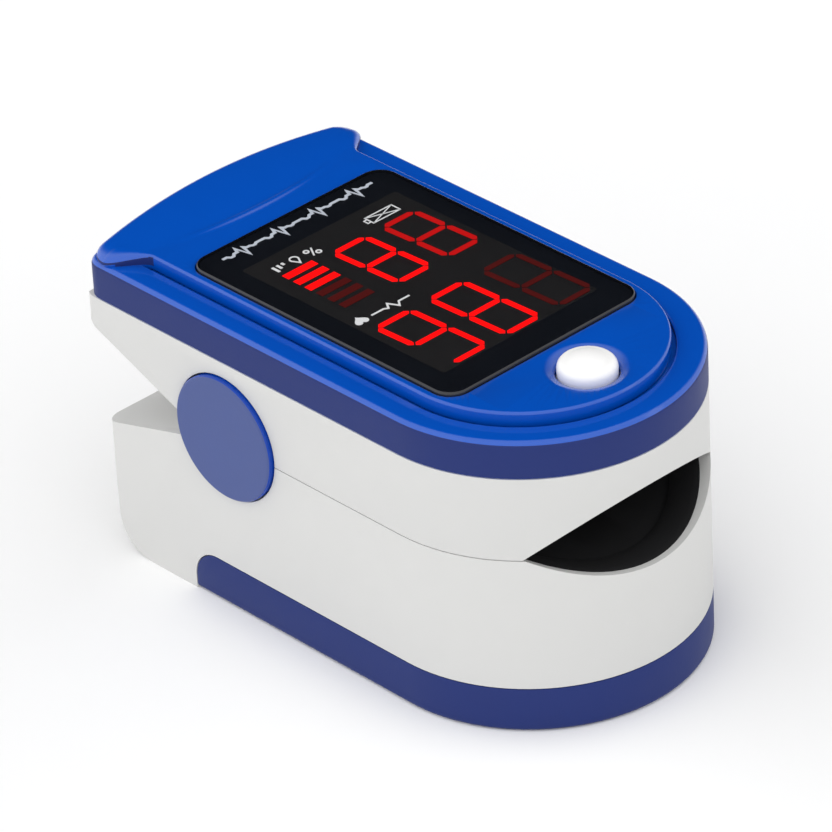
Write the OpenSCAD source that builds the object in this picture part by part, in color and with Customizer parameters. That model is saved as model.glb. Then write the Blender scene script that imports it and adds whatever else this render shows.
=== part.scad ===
/* [Overall size] */
// length from the tail to the nose
body_length = 57.15; // [56:0.05:66]
// width across the two sides
body_width = 31.75; // [31:0.05:38]
// height from the table to the crest of the tail
body_height = 31.75; // [30.8:0.05:38]
// outside wall of both white shells
shell_wall = 1.8; // [1.5:0.05:2]
// radius of the rounded upright edges at the rear
rear_radius = 2; // [1:0.1:3]

/* [Height levels] */
// height where the lower half meets the upper half
parting_height = 18; // [17.9:0.05:18.5]
// height of the blue side wall of the battery cover
cover_height = 4.5; // [4:0.05:5]
// height of the blue band round the top cover
band_height = 3.75; // [3.5:0.05:3.9]
// rise of the deck above the ledge
deck_rise = 1.05; // [0.8:0.05:1.2]
// rise of the tail crest above the deck
crest_rise = 0.7; // [0.5:0.05:1]

/* [Top cover] */
// width of the ledge round the deck
ledge_width = 3.1; // [2.6:0.05:3.4]
// rounding of the top cover's outer edge
band_fillet = 0.6; // [0.2:0.05:1]
// thickness of the deck plate
deck_thick = 1.4; // [1.2:0.05:1.6]
// length of the rising thumb scoop on the tail
scoop_length = 6.3; // [5:0.1:8]
// length of the full-width part of the tail
tail_length = 3.9; // [3:0.1:5]
// bulge of the tail's rear edge
tail_bulge = 1.7; // [1:0.1:2.4]
// bulge of the rear edge of the band and the upper shell
rear_bulge = 0.9; // [0.5:0.1:1]
// drop of the tail crest at the two corners
crown_drop = 0.75; // [0.5:0.05:1]

/* [Display] */
// length of the dark lens along the body
lens_length = 33.7; // [31:0.1:34.4]
// width of the dark lens across the body
lens_width = 23.8; // [22:0.1:24.4]
// thickness of the lens
lens_thick = 1.2; // [1:0.05:1.4]
// height of the lens above the deck
lens_proud = 0.3; // [0.1:0.05:0.5]
// position of the lens centre along the body
lens_x = -1.25; // [-1.8:0.05:-0.9]
// length of the display block
block_length = 26.4; // [25:0.1:28]
// width of the display block
block_width = 20.2; // [19.8:0.1:21]
// height of one digit
digit_height = 7.2; // [6:0.1:7.6]
// width of one digit
digit_width = 4; // [3.4:0.1:4.4]
// width of one lit segment
segment_width = 0.75; // [0.5:0.05:0.9]
// distance between neighbouring digits
digit_pitch = 7; // [6.4:0.05:7.3]
// distance between the two rows of digits
row_pitch = 13.7; // [12.6:0.05:14]

/* [Button] */
// position of the button along the body
button_x = 20.3; // [20:0.05:20.8]
// radius of the button
button_radius = 2.8; // [2.4:0.05:3]
// height of the button above the deck
button_proud = 0.7; // [0.6:0.05:1]
// travel of the button
button_travel = 0.5; // [0.3:0.05:0.6]
// radius of the shallow dish round the button
dish_radius = 3.6; // [3.4:0.05:3.9]

/* [Finger channel] */
// width of the finger opening at the parting line
opening_width = 23.3; // [21:0.1:24]
// rise of the opening's arch above the parting line
opening_rise = 5; // [4:0.05:5.1]
// drop of the opening's scoop below the parting line
opening_drop = 3.4; // [2.6:0.05:3.4]
// depth of the silicone behind the opening's lip
pad_recess = 0.3; // [0.2:0.05:0.4]
// thickness of the silicone pads
pad_thick = 1; // [0.8:0.05:1]
// thickness of the shell behind the upper pad
bed_thick = 0.9; // [0.8:0.05:1]
// position of the sensor along the body
sensor_x = 9; // [6:0.1:12]

/* [Hinge] */
// position of the hinge axis along the body
hinge_x = -9.7; // [-9.9:0.05:-9.5]
// height of the hinge axis above the parting line
hinge_rise = 0.45; // [0:0.05:0.6]
// radius of the round hinge cap
cap_radius = 6.15; // [5.8:0.05:6.4]
// height of the hinge cap above the side
cap_proud = 0.5; // [0.3:0.05:0.8]
// radius of the hinge pin
pin_radius = 1.25; // [1:0.05:1.4]
// free space round the cap and between moving walls
moving_gap = 0.15; // [0.12:0.01:0.2]
// radial clearance of the pin in the upper ears
running_fit = 0.05; // [0.02:0.01:0.08]
// radial clearance of pieces that are pressed or glued
seat_fit = 0.02; // [0.01:0.005:0.04]
// slope of the upper shell under the tail, in degrees
upper_slope = 22; // [21:0.5:22.5]
// slope of the lower shell under the tail, in degrees
lower_slope = 16; // [15:0.5:16.5]

/* [Batteries] */
// radius of one battery
battery_radius = 5.25; // [5.15:0.01:5.25]
// length of one battery with its stud
battery_length = 44.5; // [44:0.1:44.5]
// length of the battery's stud
stud_length = 0.9; // [0.8:0.05:1]
// free space between the batteries and round them
battery_gap = 0.25; // [0.2:0.01:0.25]
// thickness of the battery cover's floor
cover_floor = 1.5; // [1.3:0.05:1.55]
// position of the rear edge of the battery cover
cover_rear_x = -15.1; // [-15.6:0.05:-14.6]
// rounding of the battery cover's bottom edge
cover_fillet = 0.6; // [0.3:0.05:1.3]
// rounding of the battery cover's upper rear corner
cover_corner = 3; // [2:0.1:3.4]

/* [Hidden] */
$fn = 64;
half_length = body_length / 2;
half_width = body_width / 2;
nose_x = half_length - half_width;
deck_z = body_height - crest_rise;
ledge_z = deck_z - deck_rise;
band_z = ledge_z - band_height;
deck_half = half_width - ledge_width;
hinge_z = parting_height + hinge_rise;
split_gap = 0.1;
half_opening = opening_width / 2;
arch_radius = (half_opening * half_opening + opening_rise * opening_rise) / (2 * opening_rise);
arch_z = parting_height + opening_rise - arch_radius;
scoop_radius = (half_opening * half_opening + opening_drop * opening_drop) / (2 * opening_drop);
scoop_z = parting_height - opening_drop + scoop_radius;
arch_top = arch_z + arch_radius + pad_recess;
scoop_low = scoop_z - scoop_radius - pad_recess;
stop_x = hinge_x + 6.1;
stop_thick = 1;
wall_x = stop_x - stop_thick;
rear_face_x = -half_length + 1.775;
pad_inset = shell_wall + 0.1;
battery_y = battery_radius + battery_gap / 2 + 0.025;
battery_z = cover_floor + 0.3 + battery_radius;
bay_radius = battery_radius + battery_gap;
body_rear_x = rear_face_x + 3.85;
body_front_x = body_rear_x + battery_length - stud_length;
rear_plate_x = body_rear_x - 1.65;
front_plate_x = body_front_x + 1.55;
plate_thick = 0.3;
cover_wall = 1.5;
rim_inset = cover_wall + 0.1;
rim_z = cover_floor + 0.2;
rail_z = cover_floor + 1.2;
ear_outer = half_width - 1.05;
ear_inner = half_width - 2.175;
ear_radius = cap_radius - 0.25;
socket_radius = cap_radius + moving_gap;
arm_outer = ear_inner - moving_gap;
arm_inner = arm_outer - 1.35;
arm_radius = 4.6;
board_z = band_z + 0.15;
board_thick = 0.8;
block_z = board_z + board_thick;
lens_z = deck_z + lens_proud - lens_thick;
block_top = lens_z - 0.15;
digit_x = lens_x - 4.55;
wire_radius = 0.4;
coil_radius = 2.3;
lead_radius = 0.3;
lead_z = scoop_low - pad_thick - 0.6;
screw_radius = 0.9;
screw_head_radius = 1.7;
front_screw = [nose_x + 3.6, 10.9];
rear_screw = [-half_length + 7.4, 9.6];
window_length = 5.6;
window_width = 4.2;

// plan outline of the body, moved inwards by inset, with its rear edge at rear
module plan(inset, rear, corner) {
    half = half_width - inset;
    translate([nose_x, 0]) circle(r = half);
    translate([rear + corner, -half]) square([nose_x - rear - corner, 2 * half]);
    translate([rear, -half + corner]) square([corner, 2 * (half - corner)]);
    for (s = [-1, 1]) translate([rear + corner, s * (half - corner)]) circle(r = corner);
}

// solid with the plan outline between two heights
module slab(inset, rear, corner, low, high) {
    translate([0, 0, low]) linear_extrude(height = high - low) plan(inset, rear, corner);
}

// upright cylinder whose rear face is the curved rear edge of the body
module rear_curve(bulge, low, high) {
    r = (half_width * half_width + bulge * bulge) / (2 * bulge);
    translate([-half_length + r, 0, low]) cylinder(r = r, h = high - low);
}

// solid that follows the straight sides and the round nose with one edge profile
module swept_edge(rear) {
    translate([nose_x, 0, 0]) rotate([0, 0, -90]) rotate_extrude(angle = 180) children();
    translate([rear, 0, 0]) rotate([90, 0, 90]) linear_extrude(height = nose_x - rear) {
        children();
        mirror([1, 0]) children();
    }
}

// side outline drawn in X and Z, given its full width across the body
module side_slab(width) {
    translate([0, width / 2, 0]) rotate([90, 0, 0]) linear_extrude(height = width) children();
}

module bar_x(low_x, high_x, y, z, r) {
    translate([low_x, y, z]) rotate([0, 90, 0]) cylinder(r = r, h = high_x - low_x);
}

module bar_y(x, low_y, high_y, z, r) {
    translate([x, low_y, z]) rotate([-90, 0, 0]) cylinder(r = r, h = high_y - low_y);
}

module block(low, high) {
    translate(low) cube(high - low);
}

module round_rect(length, width, r) {
    square([length - 2 * r, width], center = true);
    square([length, width - 2 * r], center = true);
    for (x = [-1, 1], y = [-1, 1]) translate([x * (length / 2 - r), y * (width / 2 - r)]) circle(r = r);
}

// bent wire through a list of points
function unit(v) = v / norm(v);
function along(p, i) = unit(p[min(i + 1, len(p) - 1)] - p[max(i - 1, 0)]);
module wire(path, r, side) {
    k = 8;
    n = len(path);
    rings = [for (i = [0:n - 1]) let (t = along(path, i), a = unit(cross(t, side)), b = cross(t, a))
        for (j = [0:k - 1]) path[i] + r * (cos(360 * j / k) * a + sin(360 * j / k) * b)];
    skin = [for (i = [0:n - 2]) for (j = [0:k - 1]) for (half = [0, 1])
        half == 0 ? [i * k + j, (i + 1) * k + j, i * k + (j + 1) % k]
            : [(i + 1) * k + j, (i + 1) * k + (j + 1) % k, i * k + (j + 1) % k]];
    ends = [[for (j = [0:k - 1]) j], [for (j = [0:k - 1]) n * k - 1 - j]];
    polyhedron(points = rings, faces = concat(skin, ends));
}

// side outline of the lower half
module lower_side() {
    corner = 4.5;
    top_rear = parting_height - 4.9;
    reach = (parting_height - top_rear) / tan(lower_slope);
    polygon([[rear_face_x, top_rear], [rear_face_x + 1.1, corner], [rear_face_x + 1.1 + corner, corner],
        [rear_face_x + 1.1 + corner, 0], [half_length, 0], [half_length, parting_height - split_gap],
        [rear_face_x + reach, parting_height - split_gap]]);
    translate([rear_face_x + 1.1 + corner, corner]) circle(r = corner);
}

// side outline of the upper shell
module upper_side() {
    low_rear = band_z - 2.7;
    reach = (low_rear - parting_height) / tan(upper_slope);
    polygon([[-half_length, band_z], [-half_length + 0.375, low_rear], [-half_length + 0.375 + reach, parting_height],
        [half_length, parting_height], [half_length, band_z]]);
}

module finger_tunnel(recess, low_x) {
    bar_x(low_x, half_length + 1, 0, arch_z, arch_radius + recess);
}

module finger_trough(recess, low_x) {
    bar_x(low_x, half_length + 1, 0, scoop_z, scoop_radius + recess);
}

// blue top cover: band, ledge, deck and raised tail in one moulding
module top_cover() {
    inner = ledge_width + 1.2;
    color([0.03, 0.32, 0.74]) difference() {
        union() {
            intersection() {
                swept_edge(-half_length) {
                    square_low = band_z;
                    translate([0, square_low]) square([half_width - band_fillet, ledge_z - square_low]);
                    translate([0, square_low]) square([half_width, band_height - band_fillet]);
                    translate([half_width - band_fillet, ledge_z - band_fillet]) circle(r = band_fillet);
                }
                slab(0, -half_length, rear_radius, band_z, deck_z);
                rear_curve(rear_bulge, band_z, ledge_z);
            }
            intersection() {
                swept_edge(-half_length) translate([0, ledge_z - 0.5]) square([deck_half, deck_rise + 0.5]);
                rear_curve(tail_bulge, ledge_z - 0.5, deck_z);
            }
            intersection() {
                difference() {
                    union() {
                        block([-half_length, -half_width, ledge_z - 0.6], [-half_length + tail_length, half_width, body_height]);
                        block([-half_length, -deck_half, ledge_z - 0.6], [-half_length + scoop_length + 0.3, deck_half, body_height]);
                    }
                    scoop_r = (scoop_length * scoop_length + crest_rise * crest_rise) / (2 * crest_rise);
                    bar_y(-half_length + 0.3 + scoop_length, -half_width - 1, half_width + 1, deck_z + scoop_r, scoop_r);
                }
                crown_r = (half_width * half_width + crown_drop * crown_drop) / (2 * crown_drop);
                bar_x(-half_length - 1, nose_x, 0, body_height - crown_r, crown_r);
                rear_curve(tail_bulge, ledge_z - 0.6, body_height);
            }
        }
        difference() {
            union() {
                slab(1.7, -half_length + 1.8, rear_radius, band_z - 1, ledge_z - 1.4);
                slab(inner, -half_length + 3.4, rear_radius, band_z, deck_z - deck_thick);
            }
            for (s = [-1, 1]) {
                translate([front_screw[0], s * front_screw[1], board_z - 0.1]) cylinder(r = 2, h = 5);
                translate([rear_screw[0], s * rear_screw[1], board_z - 0.1]) cylinder(r = 2, h = 5);
            }
        }
        translate([lens_x, 0, lens_z - 0.02]) linear_extrude(height = 5)
            round_rect(lens_length + 0.2, lens_width + 0.2, 2.1);
        translate([lens_x, 0, band_z]) linear_extrude(height = 6)
            round_rect(lens_length - 2, lens_width - 2, 1.5);
        translate([button_x, 0, band_z]) cylinder(r = button_radius + 0.1, h = 8);
        dish_r = 18;
        translate([button_x, 0, deck_z - 0.35 + dish_r]) sphere(r = dish_r);
        for (s = [-1, 1]) {
            translate([front_screw[0], s * front_screw[1], band_z - 1]) cylinder(r = screw_radius + seat_fit, h = 3.2);
            translate([rear_screw[0], s * rear_screw[1], band_z - 1]) cylinder(r = screw_radius + seat_fit, h = 3.2);
        }
    }
}

// smoked lens set into the deck, with a bevelled upper edge
module display_lens() {
    color([0.07, 0.08, 0.11]) {
        translate([lens_x, 0, lens_z]) linear_extrude(height = lens_thick - 0.25) round_rect(lens_length, lens_width, 2);
        translate([lens_x, 0, lens_z + lens_thick - 0.25]) linear_extrude(height = 0.25)
            round_rect(lens_length - 0.5, lens_width - 0.5, 1.75);
    }
}

// moulded block that holds the light-emitting segments
module display_block() {
    color([0.15, 0.15, 0.16]) difference() {
        translate([lens_x + 0.4, 0, block_z]) linear_extrude(height = block_top - block_z)
            round_rect(block_length, block_width, 0.5);
        for (p = digit_places()) translate([p[0], p[1], block_top - 0.25]) linear_extrude(height = 1) digit_plan(0.02);
        for (i = [0:5]) translate([digit_x - 4.3 + 1.75 * i, -6.2, block_top - 0.25])
            block([-0.47, -2.12, 0], [0.47, 2.12, 1]);
    }
}

function digit_places() = [[digit_x, digit_pitch], [digit_x, 0],
    [digit_x + row_pitch, digit_pitch], [digit_x + row_pitch, 0], [digit_x + row_pitch, -digit_pitch]];

// one lit segment with mitred ends, lying along X
module segment(reach, grow) {
    half = segment_width / 2 + grow;
    end = reach + grow;
    polygon([[-end, 0], [half - end, half], [end - half, half], [end, 0], [end - half, -half], [half - end, -half]]);
}

// the seven segments of one digit, whose top points to the nose
module digit_plan(grow) {
    tall = digit_height - segment_width;
    wide = digit_width - segment_width;
    for (x = [-tall / 2, 0, tall / 2]) translate([x, 0]) rotate(90) segment(wide / 2 - 0.12, grow);
    for (x = [-tall / 4, tall / 4], y = [-wide / 2, wide / 2]) translate([x, y]) segment(tall / 4 - 0.12, grow);
}

// translucent bars that light up as digits and as the signal column
module digit_segments() {
    color([1, 0.05, 0.02]) {
        for (p = digit_places()) translate([p[0], p[1], block_top - 0.25]) linear_extrude(height = 0.3) digit_plan(0);
        for (i = [0:5]) translate([digit_x - 4.3 + 1.75 * i, -6.2, block_top - 0.25])
            block([-0.45, -2.1, 0], [0.45, 2.1, 0.3]);
    }
}

// circuit board under the display, notched round the screw posts
module main_board() {
    color([0.05, 0.35, 0.15]) difference() {
        slab(3, -half_length + 4.2, 1, board_z, board_z + board_thick);
        for (s = [-1, 1]) {
            translate([front_screw[0], s * front_screw[1], board_z - 1]) cylinder(r = 2.2, h = 3);
            translate([rear_screw[0], s * rear_screw[1], board_z - 1]) cylinder(r = 2.2, h = 3);
        }
    }
}

module processor_chip() {
    color([0.08, 0.08, 0.09]) block([hinge_x - 9.4, 1, board_z - 1.1], [hinge_x - 3.6, 6.8, board_z]);
}

module amplifier_chip() {
    color([0.08, 0.08, 0.09]) block([hinge_x - 9.2, -6.6, board_z - 1], [hinge_x - 4.2, -2.6, board_z]);
}

module clock_crystal() {
    color([0.75, 0.76, 0.78]) translate([hinge_x - 11.6, 0, board_z - 1.3]) linear_extrude(height = 1.3) round_rect(1.8, 4.4, 0.85);
}

// small push switch under the button
module key_switch() {
    color([0.2, 0.2, 0.21]) {
        block([button_x - 2.1, -2.1, block_z], [button_x + 2.1, 2.1, switch_top_z() - 0.2]);
        translate([button_x, 0, block_z]) cylinder(r = 1, h = switch_top_z() - block_z);
    }
}

function button_foot_z() = deck_z - deck_thick - 0.9;
function switch_top_z() = button_foot_z() - 0.2 - button_travel - 0.05;

// white upper shell: outer wall, arched finger bed and hinge arms
module upper_shell() {
    color([0.93, 0.93, 0.92]) difference() {
        union() {
            difference() {
                union() {
                    intersection() {
                        slab(0, -half_length, rear_radius, parting_height, band_z);
                        side_slab(body_width + 2) upper_side();
                        rear_curve(rear_bulge, parting_height, band_z);
                    }
                    slab(shell_wall, -half_length + 1.9, rear_radius, band_z - 1, band_z + 1.1);
                }
                // space over the finger bed and inside the tail
                difference() {
                    slab(shell_wall + 0.9, -half_length + 2.8, 1, parting_height - 1, band_z + 3);
                    bar_x(wall_x - stop_thick, half_length, 0, arch_z, arch_radius + pad_recess + pad_thick + bed_thick);
                    block([wall_x - stop_thick, -half_width, parting_height - 1], [stop_x, half_width, arch_z + 12]);
                    side_slab(body_width) polygon([[-half_length, band_z + 0.1], [-half_length + 0.4, band_z - 3],
                        [hinge_x - 5.4, parting_height - 2], [hinge_x - 6.1, parting_height + 3.4], [-half_length + 3, band_z - 1.1]]);
                    for (s = [-1, 1]) {
                        translate([front_screw[0], s * front_screw[1], parting_height]) cylinder(r = 2.4, h = 9);
                        translate([rear_screw[0], s * rear_screw[1], parting_height]) cylinder(r = 2.4, h = 9);
                        block([hinge_x - 4, s > 0 ? arm_inner : -half_width, parting_height + 6.6],
                            [hinge_x + 4, s > 0 ? half_width : -arm_inner, band_z]);
                    }
                }
                slab(shell_wall + 0.9, -half_length + 2.8, 1, band_z, band_z + 3);
                // round seats for the hinge caps
                for (s = [-1, 1]) bar_y(hinge_x, s > 0 ? arm_outer : -half_width - 1, s > 0 ? half_width + 1 : -arm_outer, hinge_z, socket_radius);
                block([hinge_x - 5.4, -arm_outer, parting_height - 1], [wall_x - stop_thick, arm_outer, parting_height + 5.5]);
                // finger channel and the pocket for its pad
                finger_tunnel(0, stop_x);
                intersection() {
                    finger_tunnel(pad_recess + pad_thick, wall_x);
                    slab(shell_wall, wall_x, 0.5, parting_height - 1, band_z + 2);
                }
            }
            // arms that turn on the pin
            for (s = [-1, 1]) {
                low = s > 0 ? arm_inner : -arm_outer;
                bar_y(hinge_x, low, low + arm_outer - arm_inner, hinge_z, arm_radius);
                block([hinge_x - 3.6, low, hinge_z], [hinge_x + 3.6, low + arm_outer - arm_inner, band_z - 0.5]);
                // rib that the spring leg pushes on
                block([hinge_x + coil_radius + wire_radius + 0.02, s * 8.6 - 1.4, hinge_z + 1],
                    [wall_x - 0.5, s * 8.6 + 1.4, hinge_z + 5]);
            }
        }
        bar_y(hinge_x, -half_width, half_width, hinge_z, pin_radius + running_fit);
        block([sensor_x - 1.8, -1.7, arch_top], [sensor_x + 1.8, 1.7, arch_top + 3]);
        for (s = [-1, 1]) {
            translate([front_screw[0], s * front_screw[1], parting_height]) cylinder(r = screw_radius + 0.15, h = 12);
            translate([rear_screw[0], s * rear_screw[1], parting_height - 1]) cylinder(r = screw_radius + 0.15, h = 12);
            translate([front_screw[0], s * front_screw[1], parting_height - 1]) cylinder(r = screw_head_radius + 0.15, h = screw_seat_z() - parting_height + 1);
            translate([rear_screw[0], s * rear_screw[1], parting_height - 1]) cylinder(r = screw_head_radius + 0.15, h = screw_seat_z() - parting_height + 1);
        }
        block([wall_x - 2, -2.2, parting_height - 1], [stop_x - 1.4, 2.2, band_z - 1.6]);
    }
}

function screw_seat_z() = band_z - 2.6;

// soft lining of the upper half of the finger channel
module upper_finger_pad() {
    color([0.06, 0.06, 0.07]) difference() {
        intersection() {
            finger_tunnel(pad_recess + pad_thick - 0.02, wall_x + 0.02);
            slab(pad_inset, wall_x + 0.02, 0.5, parting_height + 0.05, band_z);
        }
        finger_tunnel(pad_recess, stop_x);
        block([sensor_x - window_length / 2 - 0.02, -window_width / 2 - 0.02, arch_top - 1],
            [sensor_x + window_length / 2 + 0.02, window_width / 2 + 0.02, arch_top + 3]);
        block([wall_x - 1, -2.2, parting_height - 1], [stop_x - 0.6, 2.2, parting_height + 2]);
    }
}

module emitter_window() {
    color([0.75, 0.8, 0.85]) block([sensor_x - window_length / 2, -window_width / 2, arch_top + 0.1],
        [sensor_x + window_length / 2, window_width / 2, arch_top + 0.55]);
}

module emitter_led() {
    color([0.9, 0.85, 0.8]) block([sensor_x - 1.6, -1.5, arch_top + 0.6], [sensor_x + 1.6, 1.5, arch_top + pad_thick + bed_thick + 0.05]);
}

module emitter_board() {
    color([0.05, 0.35, 0.15]) block([sensor_x - 3.2, -2.6, arch_top + pad_thick + bed_thick + 0.05],
        [sensor_x + 3.2, 2.6, arch_top + pad_thick + bed_thick + 0.5]);
}

module emitter_pins() {
    color([0.85, 0.7, 0.35]) for (i = [-1.5, -0.5, 0.5, 1.5]) translate([sensor_x + 2.6, i * 1.2, arch_top + pad_thick + bed_thick + 0.5])
        cylinder(r = 0.25, h = board_z - arch_top - pad_thick - bed_thick - 0.5);
}

module screw() {
    translate([0, 0, screw_seat_z()]) cylinder(r = screw_radius, h = 4.6);
    difference() {
        translate([0, 0, screw_seat_z() - 1.2]) cylinder(r = screw_head_radius, h = 1.2);
        block([-1.1, -0.22, screw_seat_z() - 1.3], [1.1, 0.22, screw_seat_z() - 0.7]);
        block([-0.22, -1.1, screw_seat_z() - 1.3], [0.22, 1.1, screw_seat_z() - 0.7]);
    }
}

module upper_screws() {
    color([0.7, 0.7, 0.72]) for (s = [-1, 1]) {
        translate([front_screw[0], s * front_screw[1], 0]) screw();
        translate([rear_screw[0], s * rear_screw[1], 0]) screw();
    }
}

// white push button with a flange under the deck and a foot over the switch
module power_button() {
    dome_r = 6;
    dome_h = dome_r - sqrt(dome_r * dome_r - button_radius * button_radius);
    top = deck_z + button_proud;
    color([0.96, 0.96, 0.95]) {
        intersection() {
            translate([button_x, 0, button_foot_z()]) cylinder(r = button_radius, h = top - button_foot_z());
            translate([button_x, 0, top - dome_r]) sphere(r = dome_r);
        }
        translate([button_x, 0, button_foot_z()]) cylinder(r = button_radius, h = top - dome_h - button_foot_z());
        translate([button_x, 0, button_foot_z()]) cylinder(r = button_radius + 0.8, h = 0.8);
        translate([button_x, 0, button_foot_z() - 0.2]) cylinder(r = 1.2, h = 0.5);
    }
}

// white lower shell: outer wall, battery bay, finger bed and hinge ears
module lower_shell() {
    color([0.93, 0.93, 0.92]) difference() {
        union() {
            difference() {
                intersection() {
                    slab(0, rear_face_x, rear_radius, 0, parting_height - split_gap);
                    side_slab(body_width + 2) lower_side();
                }
                // step for the battery cover
                difference() {
                    side_slab(body_width + 2) cover_side(0.1);
                    slab(rim_inset, cover_rear_x - 6, 0.5, rim_z, 20);
                }
                // hinge space, caps and arms
                block([hinge_x - 6, -arm_inner + 0.1, scoop_low - pad_thick + 0.3], [wall_x - stop_thick, arm_inner - 0.1, parting_height + 1]);
                for (s = [-1, 1]) {
                    bar_y(hinge_x, s > 0 ? ear_outer : -half_width - 1, s > 0 ? half_width + 1 : -ear_outer, hinge_z, socket_radius);
                    bar_y(hinge_x, s > 0 ? arm_inner - 0.1 : -ear_inner, s > 0 ? ear_inner : -arm_inner + 0.1, hinge_z, arm_radius + 0.3);
                }
                // finger channel and the pocket for its pad
                finger_trough(0, stop_x);
                intersection() {
                    finger_trough(pad_recess + pad_thick, wall_x);
                    slab(shell_wall, wall_x, 0.5, 1, parting_height + 2);
                    block([wall_x, -half_width, 0], [half_length, half_width, 30]);
                }
            }
            for (s = [-1, 1]) {
                bar_y(hinge_x, s > 0 ? ear_inner : -ear_outer, s > 0 ? ear_outer : -ear_inner, hinge_z, ear_radius);
                block([hinge_x + coil_radius + wire_radius + 0.02, s * 5.4 - 1.2, scoop_low - pad_thick - 0.5],
                    [wall_x - 0.5, s * 5.4 + 1.2, hinge_z - 1]);
            }
        }
        // battery bay, open to the underside over the cover
        for (s = [-1, 1]) {
            bar_x(body_rear_x - 0.2, body_front_x + 0.25, s * battery_y, battery_z, bay_radius);
            bar_x(rear_plate_x - plate_thick, front_plate_x + plate_thick, s * battery_y, battery_z, 4);
        }
        block([cover_rear_x + 0.2, -battery_y - bay_radius + 0.2, -1], [body_front_x + 0.25, battery_y + bay_radius - 0.2, battery_z]);
        block([body_front_x - 1, -battery_y - 3.4, rim_z - 1], [front_plate_x + plate_thick, battery_y + 3.4, battery_z]);
        block([rear_plate_x - plate_thick, -battery_y - 3.4, battery_z - 3.4], [rear_plate_x, battery_y + 3.4, battery_z + 3.4]);
        block([front_plate_x, -battery_y - 3.4, battery_z - 3.4], [front_plate_x + plate_thick, battery_y + 3.4, battery_z + 3.4]);
        // hollow of the nose in front of the contacts
        intersection() {
            slab(shell_wall + 1.1, 0, 1, -1, scoop_low - pad_thick - 1.2);
            block([front_plate_x + plate_thick + 1, -half_width, -1], [half_length, half_width, 20]);
        }
        // sensor pocket and wire channels
        block([sensor_x - 3.2, -1.75, lead_z - lead_radius - 0.6], [sensor_x + 3.2, 1.75, 30]);
        block([hinge_x + 1, -1.75, lead_z - lead_radius - 0.1], [sensor_x, 1.75, scoop_low]);
        block([wall_x - 3, -1.75, lead_z - lead_radius - 0.1], [stop_x - 0.6, 1.75, parting_height + 1]);
        block([rear_plate_x - plate_thick, -1.75, lead_z - 0.7 - lead_radius - 0.1], [hinge_x, 1.75, lead_z - 0.7 + lead_radius + 0.1]);
        block([rear_plate_x - plate_thick, -1.75, battery_z], [rear_plate_x + 0.8, 1.75, lead_z - 0.4]);
        block([hinge_x - 5, -1.75, lead_z - 0.7], [hinge_x, 1.75, parting_height]);
        // cap stubs
        bar_y(hinge_x, -half_width, half_width, hinge_z, 2.4 + seat_fit);
        // grooves for the cover's rails
        for (s = [-1, 1]) block([cover_rear_x + 2.8, s > 0 ? half_width - cover_wall - 0.8 : -half_width, rail_z - 0.15],
            [nose_x + 4.8, s > 0 ? half_width : -half_width + cover_wall + 0.8, rail_z + 0.75]);
    }
}

// side outline of the battery cover, grown by a gap
module cover_side(gap) {
    r = cover_corner + gap;
    low = cover_rear_x - gap;
    high = cover_height + gap;
    translate([low, -1]) square([half_length + 2 - low, high - r + 1]);
    translate([low + r, -1]) square([half_length + 2 - low - r, high + 1]);
    translate([low + r, high - r]) circle(r = r);
}

// soft lining of the lower half of the finger channel
module lower_finger_pad() {
    color([0.06, 0.06, 0.07]) difference() {
        intersection() {
            finger_trough(pad_recess + pad_thick - 0.02, wall_x + 0.02);
            slab(pad_inset, wall_x + 0.05, 0.5, 1, parting_height - split_gap - 0.05);
        }
        finger_trough(pad_recess, stop_x);
        block([sensor_x - window_length / 2 - 0.02, -window_width / 2 - 0.02, 0],
            [sensor_x + window_length / 2 + 0.02, window_width / 2 + 0.02, scoop_low + 1]);
    }
}

module sensor_window() {
    color([0.75, 0.8, 0.85]) block([sensor_x - window_length / 2, -window_width / 2, scoop_low - 0.55],
        [sensor_x + window_length / 2, window_width / 2, scoop_low - 0.1]);
}

module photodiode() {
    color([0.12, 0.1, 0.14]) block([sensor_x - 1.6, -1.4, lead_z + 0.1], [sensor_x + 1.6, 1.4, scoop_low - 0.6]);
}

module sensor_board() {
    color([0.05, 0.35, 0.15]) block([sensor_x - 3, -1.65, lead_z - 0.7], [sensor_x + 3, 1.65, lead_z + 0.1]);
}

// insulated wires from the sensor, past the hinge, to the main board
module sensor_leads() {
    bend = 1;
    x = hinge_x + coil_radius;
    z = lead_z + 0.1;
    color([0.75, 0.12, 0.1]) for (y = [-1.1, 0, 1.1]) {
        bar_x(x + bend, sensor_x - 3, y, z, lead_radius);
        translate([x + bend, y, z + bend]) rotate([90, 0, 0]) rotate_extrude(angle = 90, start = 180) translate([bend, 0]) circle(r = lead_radius);
        translate([x, y, z + bend]) cylinder(r = lead_radius, h = board_z - z - bend);
    }
}

// one battery with its positive stud on the side given
module battery(side) {
    bar_x(body_rear_x, body_front_x, 0, battery_z, battery_radius);
    if (side > 0) bar_x(body_front_x, body_front_x + stud_length, 0, battery_z, 1.9);
    else bar_x(body_rear_x - stud_length, body_rear_x, 0, battery_z, 1.9);
}

module battery_left() {
    color([0.15, 0.16, 0.18]) translate([0, battery_y, 0]) battery(1);
}

module battery_right() {
    color([0.15, 0.16, 0.18]) translate([0, -battery_y, 0]) battery(-1);
}

// front plate that joins the two batteries
module bridge_contact() {
    color([0.8, 0.8, 0.78]) {
        block([front_plate_x + 0.01, -battery_y - 3.3, battery_z - 3.3], [front_plate_x + plate_thick - 0.01, battery_y + 3.3, battery_z + 3.3]);
        bar_x(body_front_x + stud_length + 0.02, front_plate_x + 0.05, battery_y, battery_z, 1.8);
    }
}

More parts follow.
